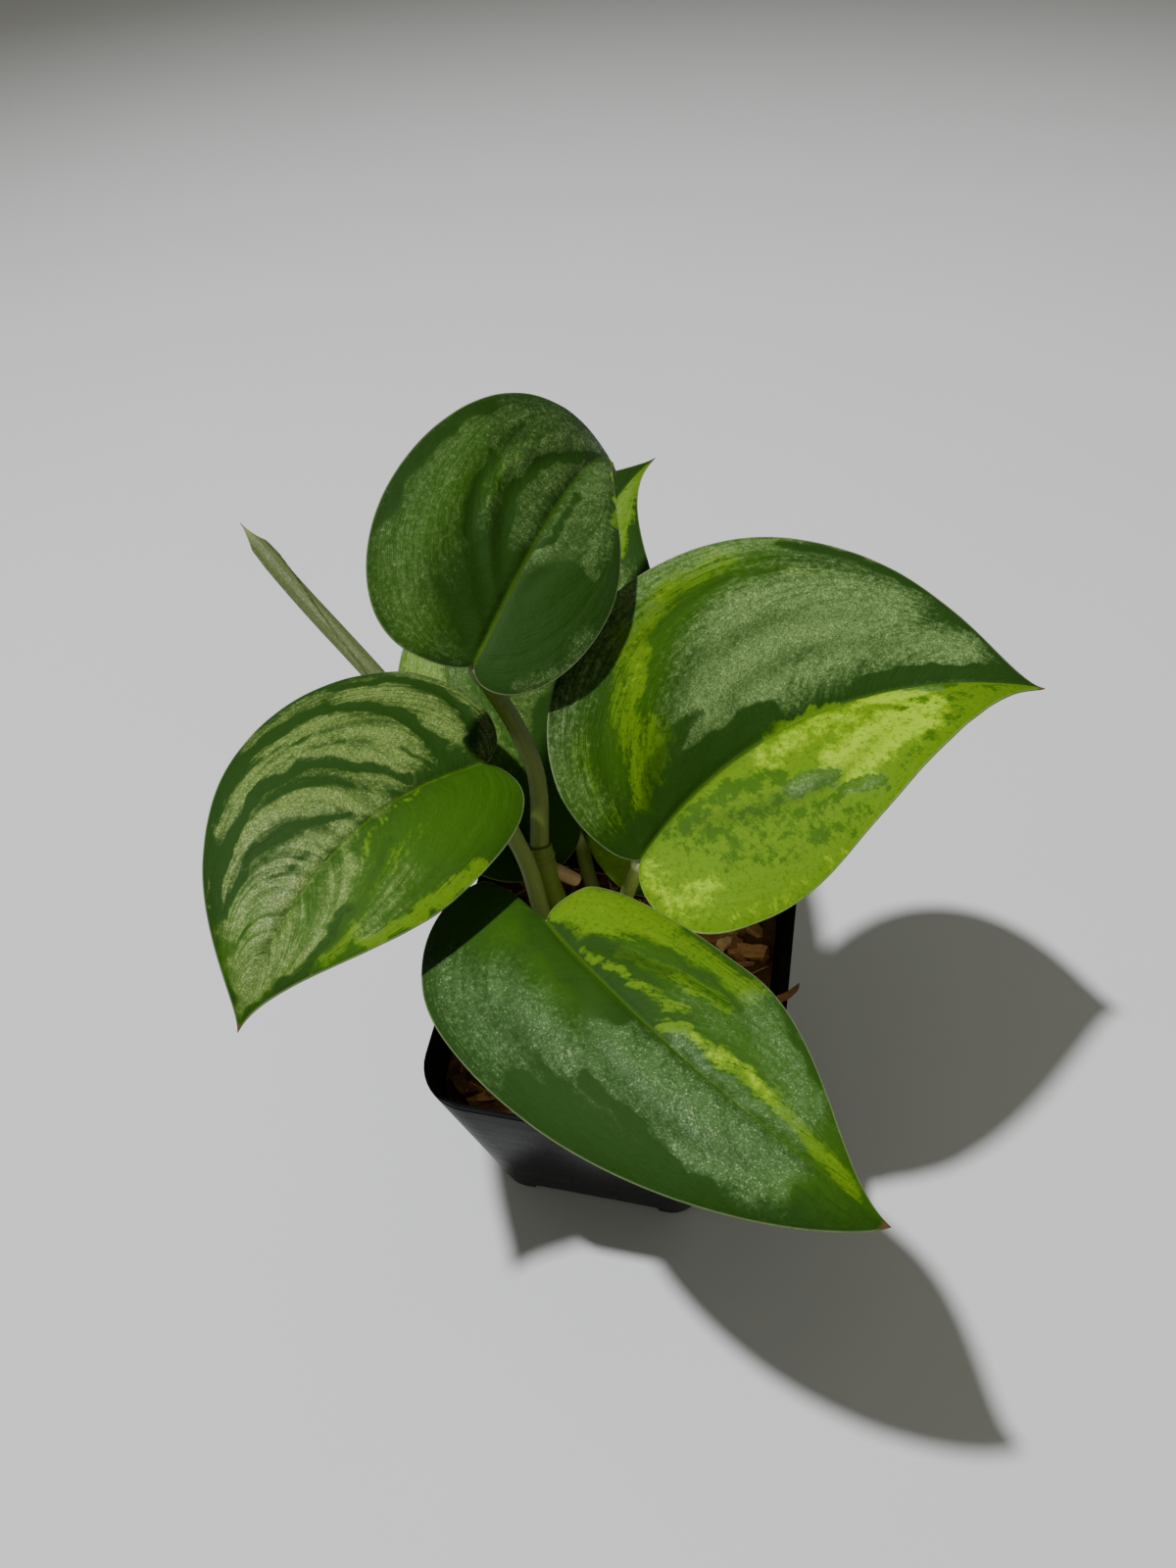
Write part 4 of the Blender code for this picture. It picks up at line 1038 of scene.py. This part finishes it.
class POTHOS_OT_stem(bpy.types.Operator):
    """Build the stem with its two ringed nodes and its root nub"""
    bl_idname = "pothos.stem"
    bl_label = "Stem"

    def execute(self, context):
        settings = context.scene.pothos_stem
        finish = skin_finish("stem_skin", settings.stem, tuple(1.25 * c for c in settings.stem),
                             settings.stalk)
        route = smooth_route(STEM_ROUTE, 12)
        share = np.linspace(0, 1, len(route))
        radii = spread(STEM_RADII, len(route))
        scar = np.zeros(len(route))
        for node in (LOWER_NODE, UPPER_NODE):
            middle = node / (len(STEM_ROUTE) - 1)
            ring = np.exp(-((share - middle) / 0.012) ** 2)
            below = np.exp(-((share - middle + 0.03) / 0.008) ** 2)
            radii = radii + 0.22 * ring - 0.12 * below
            scar = np.maximum(scar, 0.7 * below)
        end_normal = Vector(STEM_ROUTE[-1]) - Vector(STEM_ROUTE[-2])
        piece = bar_piece("stem_skin", tube_rings(route, radii, settings.sides, None, end_normal), finish,
                          scar=scar)
        place_piece(piece, "stem")
        nub = self.root_nub(settings)
        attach(nub, BODY)
        return {"FINISHED"}

    def root_nub(self, settings):
        here, _ = stem_axis(UPPER_NODE)
        here = here - Vector((0, 0, ROOT_NUB_DROP))
        out = Vector(ROOT_NUB_HEADING).normalized()
        length = STEM_RADII[UPPER_NODE] + ROOT_NUB_LENGTH
        shares = (0.1, 0.3, 0.45, 0.6, 0.75, 0.88, 0.95, 0.985, 1.0)
        factors = (1.15, 1.12, 1.08, 1.02, 1.0, 0.95, 0.80, 0.55, 0.2)
        bend = Vector((0, 0, -1.2))
        route = [here + out * length * s + bend * s * s for s in shares]
        radii = [ROOT_NUB_RADIUS * factor for factor in factors]
        finish = skin_finish("root_nub_skin", settings.nub, tuple(0.8 * c for c in settings.nub),
                             (0.20, 0.11, 0.06))
        return bar_piece("root_nub", tube_rings(route, radii, 20), finish)


def rolled_finish():
    """Olive-grey rolled blade with fine lengthwise veins and a dry brown tip."""
    finish = Finish("rolled_leaf_skin")
    grain = finish.uv("grain")
    veins = finish.noise(finish.stretch(grain, (25, 30, 1)), 1.0, 3.0, 0.6)
    speckle = finish.noise(finish.place(), 1500, 2.0, 0.6)
    base = finish.mix(finish.step(veins, 0.3, 0.7), (0.115, 0.150, 0.048), (0.065, 0.098, 0.022))
    base = finish.mix(finish.math("MULTIPLY", finish.step(speckle, 0.5, 0.7), 0.35), base, (0.22, 0.25, 0.14))
    # Painted shade: a dark line along the seam, where the outer turn's raised edge shades the gap beside it
    base = finish.mix(finish.math("MULTIPLY", finish.attribute("seam"), 0.8), base, (0.040, 0.065, 0.012))
    base = finish.mix(finish.attribute("sheet"), base, (0.19, 0.26, 0.055))
    base = finish.mix(finish.attribute("dry"), base, (0.27, 0.19, 0.09))
    normal = finish.bump(veins, 0.0003, 0.7)
    normal = finish.bump(speckle, 0.00006, 0.7, normal)
    finish.set(Base_Color=base, Roughness=finish.step(speckle, 0.3, 0.7, 0.6, 0.45), Normal=normal)
    finish.set(Specular_IOR_Level=0.25)
    return finish.material


ROLL_STARTS, ROLL_ENDS = 0.30, 0.945
ROLL_PLACES = [0, 0.33, 0.6, 0.75, 0.90, 0.94, 0.96, 1]
ROLL_RADII = [1.9, 1.95, 2.4, 2.6, 2.55, 2.25, 1.35, 0.2]
ROLL_SIDES = 48


class POTHOS_OT_rolled_leaf(bpy.types.Operator):
    """Build the new leaf, still rolled round itself, with its loose dry tip"""
    bl_idname = "pothos.rolled_leaf"
    bl_label = "Rolled Leaf"

    def execute(self, context):
        start, start_normal = radial_start("rolled")
        route = smooth_route([tuple(start - start_normal * (GAP + 1.2)), *ROLLED_ROUTE], 20)
        share = np.linspace(0, 1, len(route))
        radii = np.interp(share, ROLL_PLACES, ROLL_RADII)
        rings = tube_rings(route, radii, ROLL_SIDES, start_normal, None, self.section)
        vertices, faces = loft(rings)
        piece = mesh_piece("rolled_blade", vertices, faces, (rolled_finish(),))
        smooth_shade(piece)
        add_uv(piece, "grain", along_and_around(rings))
        angles = 2 * math.pi * np.arange(ROLL_SIDES) / ROLL_SIDES
        # Mask of the painted shade along the seam
        seam = [np.exp(-((1 - self.turn(angles, place)) / 0.035) ** 2) * self.rolled(place) for place in share]
        add_attribute(piece, "seam", np.ravel(seam))
        add_attribute(piece, "sheet", np.repeat(np.clip((share - ROLL_ENDS) / 0.04, 0, 1) * 0.8, ROLL_SIDES))
        add_attribute(piece, "dry", np.repeat(np.clip((share - 0.965) / 0.025, 0, 1), ROLL_SIDES))
        place_piece(piece, "rolled_leaf")
        return {"FINISHED"}

    def rolled(self, place):
        """0 along the stalk, 1 along the rolled blade."""
        return min(max((place - ROLL_STARTS) / 0.08, 0), 1) * min(max((0.97 - place) / 0.06, 0), 1)

    def turn(self, angle, place):
        """Share of the outer turn at an angle, from the seam round to the seam again."""
        seam = 2.1 + 9.2 * (max(place, 0.58) - 0.75)
        return ((seam - angle) % (2 * math.pi)) / (2 * math.pi)

    def section(self, angle, place):
        """A spiral's outer turn, which steps in at the seam and flattens into a thin sheet at the tip."""
        roll = self.rolled(place)
        turn = self.turn(angle, place)
        reach = 1 + roll * (0.18 * (1 - turn) - 0.13)
        reach -= 0.10 * roll * math.exp(-((1 - turn) / 0.03) ** 2)
        flat = min(max((place - ROLL_ENDS) / 0.05, 0), 1)
        lobe = math.exp(-((place - ROLL_ENDS - 0.02) / 0.02) ** 2) * max(math.cos(angle - 1.9), 0)
        return reach * (1 - 0.7 * flat * abs(math.sin(angle - 1.9))) + 0.35 * lobe


# Pot and growing mix

def taper(z, inset):
    """Half width and corner radius of the pot's outer wall at height z, moved in by inset."""
    share = z / POT_HEIGHT
    half = FOOT_HALF + (RIM_HALF - FOOT_HALF) * share - inset
    radius = FOOT_CORNER_RADIUS + (RIM_CORNER_RADIUS - FOOT_CORNER_RADIUS) * share - inset
    return half, radius


def add_box(name, centre, size):
    deselect_all()
    bpy.ops.mesh.primitive_cube_add(size=1, location=[c * MM for c in centre], scale=[s * MM for s in size])
    piece = bpy.context.active_object
    piece.name = name
    bpy.ops.object.transform_apply(location=True, rotation=False, scale=True)
    return piece


def select_edges(piece, test):
    """In edit mode, selects the edges whose two ends pass the test."""
    bpy.ops.object.mode_set(mode="EDIT")
    bpy.ops.mesh.select_all(action="DESELECT")
    bpy.ops.mesh.select_mode(type="EDGE")
    shape = bmesh.from_edit_mesh(piece.data)
    for edge in shape.edges:
        if test(edge):
            edge.select = True
    bmesh.update_edit_mesh(piece.data)


def select_faces(piece, test):
    bpy.ops.object.mode_set(mode="EDIT")
    bpy.ops.mesh.select_all(action="DESELECT")
    bpy.ops.mesh.select_mode(type="FACE")
    shape = bmesh.from_edit_mesh(piece.data)
    for face in shape.faces:
        if test(face):
            face.select = True
    bmesh.update_edit_mesh(piece.data)


def tapered_box(name, inset, low, high, corner_steps):
    """A square body with the pot's taper and rounded corners, from height low to height high."""
    half_low, radius_low = taper(low, inset)
    half_high, _ = taper(high, inset)
    piece = add_box(name, (0, 0, (low + high) / 2), (2 * half_high, 2 * half_high, high - low))
    select_faces(piece, lambda face: face.normal.z < -0.5)
    shrink = half_low / half_high
    bpy.ops.transform.resize(value=(shrink, shrink, 1))
    select_edges(piece, lambda edge: abs(edge.verts[0].co.z - edge.verts[1].co.z) > MM)
    percent = 100 * radius_low / (2 * half_low)
    bpy.ops.mesh.bevel(offset_type="PERCENT", offset_pct=percent, segments=corner_steps, affect="EDGES")
    bpy.ops.object.mode_set(mode="OBJECT")
    return piece


def cut(piece, cutter):
    """Cuts the cutter out of the piece and removes it."""
    step = piece.modifiers.new("cut", "BOOLEAN")
    step.operation = "DIFFERENCE"
    step.object = cutter
    deselect_all()
    bpy.context.view_layer.objects.active = piece
    bpy.ops.object.modifier_apply(modifier=step.name)
    bpy.data.objects.remove(cutter)


def notch_boxes(name, grow):
    """Boxes in the middle of the four bottom edges, grown by a wall where the pot's inside needs it."""
    boxes = []
    reach = 2 * NOTCH_DEPTH
    wide = NOTCH_WIDTH + 2 * grow
    high = NOTCH_HEIGHT + grow + 2
    middle = FOOT_HALF - NOTCH_DEPTH - grow + reach / 2
    for quarter in range(4):
        out = (round(math.cos(quarter * math.pi / 2)), round(math.sin(quarter * math.pi / 2)))
        size = (reach, wide, high) if quarter % 2 == 0 else (wide, reach, high)
        boxes.append(add_box(f"{name}_{quarter}", (out[0] * middle, out[1] * middle, high / 2 - 2), size))
    return boxes


def pot_finish(settings):
    """Thin black moulded plastic: fine matt grain, faint flow marks and a trace of dust."""
    finish = Finish("pot_plastic")
    place = finish.place()
    grain = finish.noise(place, 1800, 2.0, 0.5)
    flow = finish.noise(finish.stretch(place, (18, 18, 160)), 1.0, 3.0, 0.6)
    dust = finish.noise(place, 60, 5.0, 0.65)
    base = finish.mix(finish.math("MULTIPLY", finish.step(dust, 0.5, 0.8), 0.2), settings.black,
                      (0.04, 0.036, 0.032))
    rough = finish.math("ADD", finish.step(flow, 0.3, 0.7, 0.24, 0.32), finish.step(grain, 0.3, 0.7, 0.0, 0.06))
    normal = finish.bump(flow, 0.00020, 0.4)
    normal = finish.bump(grain, 0.00003, 0.5, normal)
    finish.set(Base_Color=base, Roughness=rough, Normal=normal)
    finish.set(Specular_IOR_Level=0.03)
    return finish.material


class POTHOS_OT_pot(bpy.types.Operator):
    """Build the square nursery pot with its raised notches and drain holes"""
    bl_idname = "pothos.pot"
    bl_label = "Pot"

    def execute(self, context):
        settings = context.scene.pothos_pot
        wall = settings.wall / MM
        pot = tapered_box("nursery_pot", 0, 0, POT_HEIGHT, settings.corner_steps)
        cavity = tapered_box("cavity", wall, POT_FLOOR, POT_HEIGHT + 2, settings.corner_steps)
        for ledge in notch_boxes("ledge", wall):
            cut(cavity, ledge)
        cut(pot, cavity)
        for notch in notch_boxes("notch", 0):
            cut(pot, notch)
        for quarter in range(4):
            heading = quarter * math.pi / 2
            place = FOOT_HALF - DRAIN_INSET
            deselect_all()
            bpy.ops.mesh.primitive_cylinder_add(
                vertices=32, radius=DRAIN_DIAMETER / 2 * MM, depth=10 * MM,
                location=(math.cos(heading) * place * MM, math.sin(heading) * place * MM, NOTCH_HEIGHT * MM))
            drain = bpy.context.active_object
            bpy.ops.object.transform_apply(location=True, rotation=False, scale=True)
            cut(pot, drain)
        rounding = pot.modifiers.new("edges", "BEVEL")
        rounding.width = settings.edge_round
        rounding.segments = 3
        rounding.limit_method = "ANGLE"
        rounding.angle_limit = math.radians(50)
        rounding.harden_normals = False
        deselect_all()
        bpy.context.view_layer.objects.active = pot
        pot.select_set(True)
        bpy.ops.object.modifier_apply(modifier=rounding.name)
        bpy.ops.object.shade_smooth_by_angle(angle=math.radians(35))
        pot.data.materials.clear()
        pot.data.materials.append(pot_finish(settings))
        place_piece(pot, "pot")
        return {"FINISHED"}


def chip_corners(rng):
    """The eight corners of one skewed, wedge-ended bark chip, drawn in the solid's own order."""
    length = rng.uniform(*CHIP_LENGTH)
    width = rng.uniform(*CHIP_WIDTH)
    thickness = rng.uniform(*CHIP_THICKNESS)
    room = taper(MIX_TOP, 1.5 + 2 * GAP)[0]
    heading = rng.uniform(0, math.pi)
    turn = (Matrix.Rotation(heading, 3, "Z") @ Matrix.Rotation(rng.uniform(-0.4, 0.4), 3, "Y")
            @ Matrix.Rotation(rng.uniform(-0.4, 0.4), 3, "X"))
    corners = []
    for sz in (-1, 1):
        for sx, sy in ((-1, -1), (1, -1), (1, 1), (-1, 1)):
            skew = rng.uniform(0.75, 1.0)
            narrow = rng.uniform(0.55, 1.0)
            corners.append(turn @ Vector((sx * length / 2 * skew, sy * width / 2 * narrow, sz * thickness / 2)))
    reach_x = max(abs(c.x) for c in corners)
    reach_y = max(abs(c.y) for c in corners)
    x = rng.uniform(-1, 1) * (room - reach_x)
    y = rng.uniform(-1, 1) * (room - reach_y)
    z = MIX_TOP + rng.uniform(-0.6, 0.9)
    z = min(z, CHIP_TOP_LIMIT - max(c.z for c in corners), MIX_TOP - min(c.z for c in corners) - 1.0)
    return [c + Vector((x, y, z)) for c in corners]


def inside_pot(point, inset=0.0):
    """Whether a point lies inside the pot's rounded inner outline at the mix's surface."""
    half, radius = taper(MIX_TOP, 1.5 + GAP + inset)
    dx = abs(point[0]) - (half - radius)
    dy = abs(point[1]) - (half - radius)
    if dx > 0 and dy > 0:
        return math.hypot(dx, dy) <= radius - GAP
    return max(dx, dy) <= radius


def rough_block(corners, steps, jitter, rng):
    """A block between eight corners, split into steps along it and roughened: its vertices and faces."""
    corners = [Vector(c) for c in corners]
    rings = []
    for i in range(steps + 1):
        share = i / steps
        ring = []
        for near, far in ((0, 1), (3, 2), (7, 6), (4, 5)):
            start = corners[near].lerp(corners[far], share)
            ring.append(start)
        loop = []
        for k in range(4):
            here, there = ring[k], ring[(k + 1) % 4]
            middle = here.lerp(there, 0.5)
            centre = sum(ring, Vector()) / 4
            loop.append(here + (centre - here) * 0.12)
            loop.append(middle)
        end = 0.72 if i in (0, steps) else 1.0
        centre = sum(loop, Vector()) / 8
        loop = [centre + (p - centre) * end + Vector([rng.uniform(-jitter, jitter) for _ in range(3)])
                for p in loop]
        rings.append([tuple(p) for p in loop])
    return loft(rings)


def mix_finish(settings):
    """Bark, coir and peat: every chip has its own tone, with woody lines along it."""
    finish = Finish("bark_mix")
    place = finish.place()
    tone = finish.attribute("tone")
    lines = finish.noise(finish.stretch(finish.uv("grain"), (60, 900, 1)), 1.0, 3.0, 0.65)
    crumbs = finish.noise(place, 900, 4.0, 0.65)
    ramp = finish.add("ShaderNodeValToRGB", {"Fac": finish.math("ADD", tone, finish.math(
        "MULTIPLY", finish.math("SUBTRACT", crumbs, 0.5), 0.35))})
    stops = ramp.color_ramp.elements
    stops[0].position = 0.0
    stops[0].color = (*settings.dark, 1)
    stops[1].position = 1.0
    stops[1].color = (*settings.tan, 1)
    for position, colour in ((0.35, (0.120, 0.050, 0.022)), (0.6, (0.30, 0.135, 0.058)),
                             (0.8, (0.48, 0.25, 0.115))):
        stop = stops.new(position)
        stop.color = (*colour, 1)
    base = finish.mix(finish.step(lines, 0.35, 0.65, 0.0, 0.45), ramp.outputs["Color"],
                      finish.mix(0.5, ramp.outputs["Color"], settings.dark))
    normal = finish.bump(lines, 0.0006, 0.7)
    normal = finish.bump(crumbs, 0.0006, 0.8, normal)
    finish.set(Base_Color=base, Roughness=finish.step(crumbs, 0.3, 0.7, 0.95, 0.75), Normal=normal)
    finish.set(Specular_IOR_Level=0.25)
    return finish.material


class POTHOS_OT_growing_mix(bpy.types.Operator):
    """Build the growing mix: a crumbly body under bark chips and coir fibres"""
    bl_idname = "pothos.growing_mix"
    bl_label = "Growing Mix"

    def execute(self, context):
        settings = context.scene.pothos_mix
        vertices, faces, tones, grains = [], [], [], []

        def gather(made, tone, axis):
            start = len(vertices)
            points, sides = made
            vertices.extend(points)
            faces.extend([tuple(corner + start for corner in side) for side in sides])
            tones.extend([tone] * len(points))
            axis = Vector(axis).normalized()
            across = axis.orthogonal()
            for point in points:
                grains.append((Vector(point).dot(axis) * MM, Vector(point).dot(across) * MM))

        gather(self.body(), 0.28, (1, 0, 0))
        rng = random.Random(settings.seed)
        rough = random.Random(settings.seed + 1)
        made = 0
        while made < settings.chips:
            corners = chip_corners(rng)
            if all(inside_pot(c) for c in corners):
                gather(rough_block(corners, 5, 0.28, rough), rough.uniform(0.2, 1.0), corners[1] - corners[0])
                made += 1
        made = 0
        while made < settings.small_chips:
            corners = self.small_chip(rough)
            if all(inside_pot(c) for c in corners):
                gather(rough_block(corners, 3, 0.16, rough), rough.uniform(0.1, 1.0), corners[1] - corners[0])
                made += 1
        made = 0
        while made < settings.fibres:
            route = self.fibre(rough)
            if all(inside_pot(p, 0.4) for p in route):
                radius = rough.uniform(0.12, 0.3)
                radii = [radius * f for f in (0.5, 0.9, 1.0, 1.0, 0.9, 0.8, 0.4)]
                gather(loft(tube_rings(route, radii, 5)), rough.uniform(0.55, 1.0), route[-1] - route[0])
                made += 1
        gather(self.sliver(), 0.42, (0.6, 0.2, 1))
        piece = mesh_piece("bark_and_coir", vertices, faces, (mix_finish(settings),))
        add_attribute(piece, "tone", tones)
        add_uv(piece, "grain", grains)
        deselect_all()
        bpy.context.view_layer.objects.active = piece
        piece.select_set(True)
        bpy.ops.object.shade_smooth_by_angle(angle=math.radians(32))
        place_piece(piece, "growing_mix")
        return {"FINISHED"}

    def body(self):
        """The crumbly body: its uneven top in rings out to the wall, then its side and foot."""
        rings = []
        corner_steps = 8
        for share in np.linspace(0.04, 1, 34):
            half, radius = taper(MIX_TOP, 1.5 + GAP)
            ring = []
            for quarter in range(4):
                sx = 1 if quarter in (0, 3) else -1
                sy = 1 if quarter in (0, 1) else -1
                for step in range(corner_steps + 1):
                    angle = math.radians(90 * (quarter + step / corner_steps))
                    ring.append((sx * (half - radius) + radius * math.cos(angle),
                                 sy * (half - radius) + radius * math.sin(angle)))
                ahead = (quarter + 1) % 4
                next_x = (1 if ahead in (0, 3) else -1) * (half - radius) + radius * math.cos(
                    math.radians(90 * (quarter + 1)))
                next_y = (1 if ahead in (0, 1) else -1) * (half - radius) + radius * math.sin(
                    math.radians(90 * (quarter + 1)))
                last = ring[-1]
                for step in range(1, 14):
                    ring.append((last[0] + (next_x - last[0]) * step / 14, last[1] + (next_y - last[1]) * step / 14))
            points = []
            for px, py in ring:
                x, y = px * share, py * share
                lump = noise.fractal(Vector((x * 0.16, y * 0.16, 3.0)), 0.8, 2.1, 5)
                grit = noise.noise(Vector((x * 0.9, y * 0.9, 9.0)))
                height = MIX_TOP - 0.6 + (1.1 * lump + 0.45 * grit) * (1 if share < 0.97 else 0.3)
                points.append((x, y, height))
            rings.append(points)
        foot_half = taper(POT_FLOOR + GAP, 1.5 + GAP)[0]
        shrink = foot_half / taper(MIX_TOP, 1.5 + GAP)[0]
        outer = rings[-1]
        rings.append([(x * shrink, y * shrink, NOTCH_HEIGHT + 2.4) for x, y, _ in outer])
        vertices, faces = loft(rings)
        return vertices, faces

    def small_chip(self, rng):
        length, width, thickness = rng.uniform(2.2, 6.5), rng.uniform(1.0, 2.4), rng.uniform(0.6, 1.5)
        turn = (Matrix.Rotation(rng.uniform(0, 2 * math.pi), 3, "Z")
                @ Matrix.Rotation(rng.uniform(-0.7, 0.7), 3, "Y") @ Matrix.Rotation(rng.uniform(-0.6, 0.6), 3, "X"))
        room = taper(MIX_TOP, 1.5 + GAP)[0]
        centre = Vector((rng.uniform(-room, room), rng.uniform(-room, room), MIX_TOP + rng.uniform(-0.4, 1.6)))
        corners = []
        for sz in (-1, 1):
            for sx, sy in ((-1, -1), (1, -1), (1, 1), (-1, 1)):
                corner = Vector((sx * length / 2, sy * width / 2 * rng.uniform(0.5, 1), sz * thickness / 2))
                corners.append(turn @ corner + centre)
        return corners

    def fibre(self, rng):
        room = taper(MIX_TOP, 1.5 + GAP)[0]
        centre = Vector((rng.uniform(-room, room), rng.uniform(-room, room), MIX_TOP + rng.uniform(0.6, 2.6)))
        heading = rng.uniform(0, 2 * math.pi)
        bend = rng.uniform(-0.5, 0.5)
        rise = rng.uniform(-0.25, 0.3)
        length = rng.uniform(4, 12)
        route = []
        here = centre
        for i in range(7):
            route.append(here)
            angle = heading + bend * i / 3
            here = here + Vector((math.cos(angle), math.sin(angle), rise * (1 - i / 3))) * length / 7
        return route

    def sliver(self):
        """A thin curved strip of bark that lies over the rim on the right."""
        route = smooth_route([(35.2, 1.2, 70.0), (37.4, 0.6, 74.2), (39.6, 1.0, 76.4), (41.2, 2.6, 77.0),
                              (42.0, 4.6, 76.4)], 5)
        radii = spread([1.5, 1.6, 1.5, 1.1, 0.3], len(route))
        return loft(tube_rings(route, radii, 10, None, None,
                               lambda angle, place: 0.45 + 0.55 * abs(math.cos(angle))))


# Stage

class POTHOS_OT_stage(bpy.types.Operator):
    """Build the pale floor, the soft lights and the camera"""
    bl_idname = "pothos.stage"
    bl_label = "Stage"

    def execute(self, context):
        settings = context.scene.pothos_stage
        deselect_all()
        bpy.ops.mesh.primitive_plane_add(size=8, location=(0, 0, 0))
        floor = bpy.context.active_object
        floor.name = "floor"
        finish = Finish("floor_paint")
        tone = finish.noise(finish.place(), 14, 3.0, 0.5)
        finish.set(Base_Color=finish.mix(finish.step(tone, 0.3, 0.7, 0, 0.06), settings.floor, (0.5, 0.5, 0.51)),
                   Roughness=0.75)
        floor.data.materials.append(finish.material)

        towards = Vector(settings.key_from).normalized()
        place = towards * settings.key_distance
        bpy.ops.object.light_add(type="SPOT", location=place)
        key = bpy.context.active_object
        key.name = "key_light"
        key.rotation_euler = (place - Vector(settings.key_aim)).to_track_quat("Z", "Y").to_euler()
        key.data.spot_size = settings.key_cone
        key.data.spot_blend = 1.0
        key.data.shadow_soft_size = settings.key_radius
        key.data.energy = settings.key_power

        bpy.ops.object.light_add(type="POINT", location=settings.glow_place)
        glow = bpy.context.active_object
        glow.name = "glow_light"
        glow.data.color = (1.0, 1.0, 0.55)
        glow.data.shadow_soft_size = 0.02
        glow.data.energy = settings.glow_power
        glow.visible_camera = False

        world = bpy.data.worlds.new("studio")
        world.use_nodes = True
        background = world.node_tree.nodes["Background"]
        background.inputs["Color"].default_value = (1.0, 0.97, 0.86, 1.0)
        background.inputs["Strength"].default_value = settings.fill
        context.scene.world = world

        bpy.ops.object.camera_add(location=settings.camera_place,
                                  rotation=(settings.camera_tilt, 0, settings.camera_heading))
        camera = bpy.context.active_object
        camera.data.sensor_width = 36.0
        camera.data.lens = settings.lens
        camera.data.clip_start = 0.01
        context.scene.camera = camera
        return {"FINISHED"}


class POTHOS_PT_pieces(bpy.types.Panel):
    """Lists the plant's pieces and their settings"""
    bl_idname = "POTHOS_PT_pieces"
    bl_label = "Satin Pothos"
    bl_space_type = "VIEW_3D"
    bl_region_type = "UI"
    bl_category = "Pothos"

    def draw(self, context):
        layout = self.layout
        for operator, group in PIECES:
            layout.operator(operator)
            settings = getattr(context.scene, group)
            for name in type(settings).__annotations__:
                layout.prop(settings, name)


GROUPS = {"pothos_pot": PotSettings, "pothos_mix": MixSettings, "pothos_stem": StemSettings,
          "pothos_leaf": LeafSettings, "pothos_stage": StageSettings}
OPERATORS = (POTHOS_OT_stage, POTHOS_OT_pot, POTHOS_OT_growing_mix, POTHOS_OT_stem, POTHOS_OT_stalks,
             POTHOS_OT_leaves, POTHOS_OT_rolled_leaf)
PIECES = (("pothos.stage", "pothos_stage"), ("pothos.pot", "pothos_pot"), ("pothos.growing_mix", "pothos_mix"),
          ("pothos.stem", "pothos_stem"), ("pothos.stalks", "pothos_stem"), ("pothos.leaves", "pothos_leaf"),
          ("pothos.rolled_leaf", "pothos_stem"))


def register():
    for group in GROUPS.values():
        bpy.utils.register_class(group)
    for name, group in GROUPS.items():
        setattr(bpy.types.Scene, name, PointerProperty(type=group))
    for operator in (*OPERATORS, POTHOS_PT_pieces):
        bpy.utils.register_class(operator)


def unregister():
    for operator in reversed((*OPERATORS, POTHOS_PT_pieces)):
        bpy.utils.unregister_class(operator)
    for name, group in GROUPS.items():
        delattr(bpy.types.Scene, name)
        bpy.utils.unregister_class(group)


def main():
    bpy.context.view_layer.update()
    register()
    bpy.ops.pothos.stage()
    bpy.ops.pothos.pot()
    bpy.ops.pothos.growing_mix()
    bpy.ops.pothos.stem()
    bpy.ops.pothos.stalks()
    bpy.ops.pothos.leaves()
    bpy.ops.pothos.rolled_leaf()


if __name__ == "__main__":
    main()
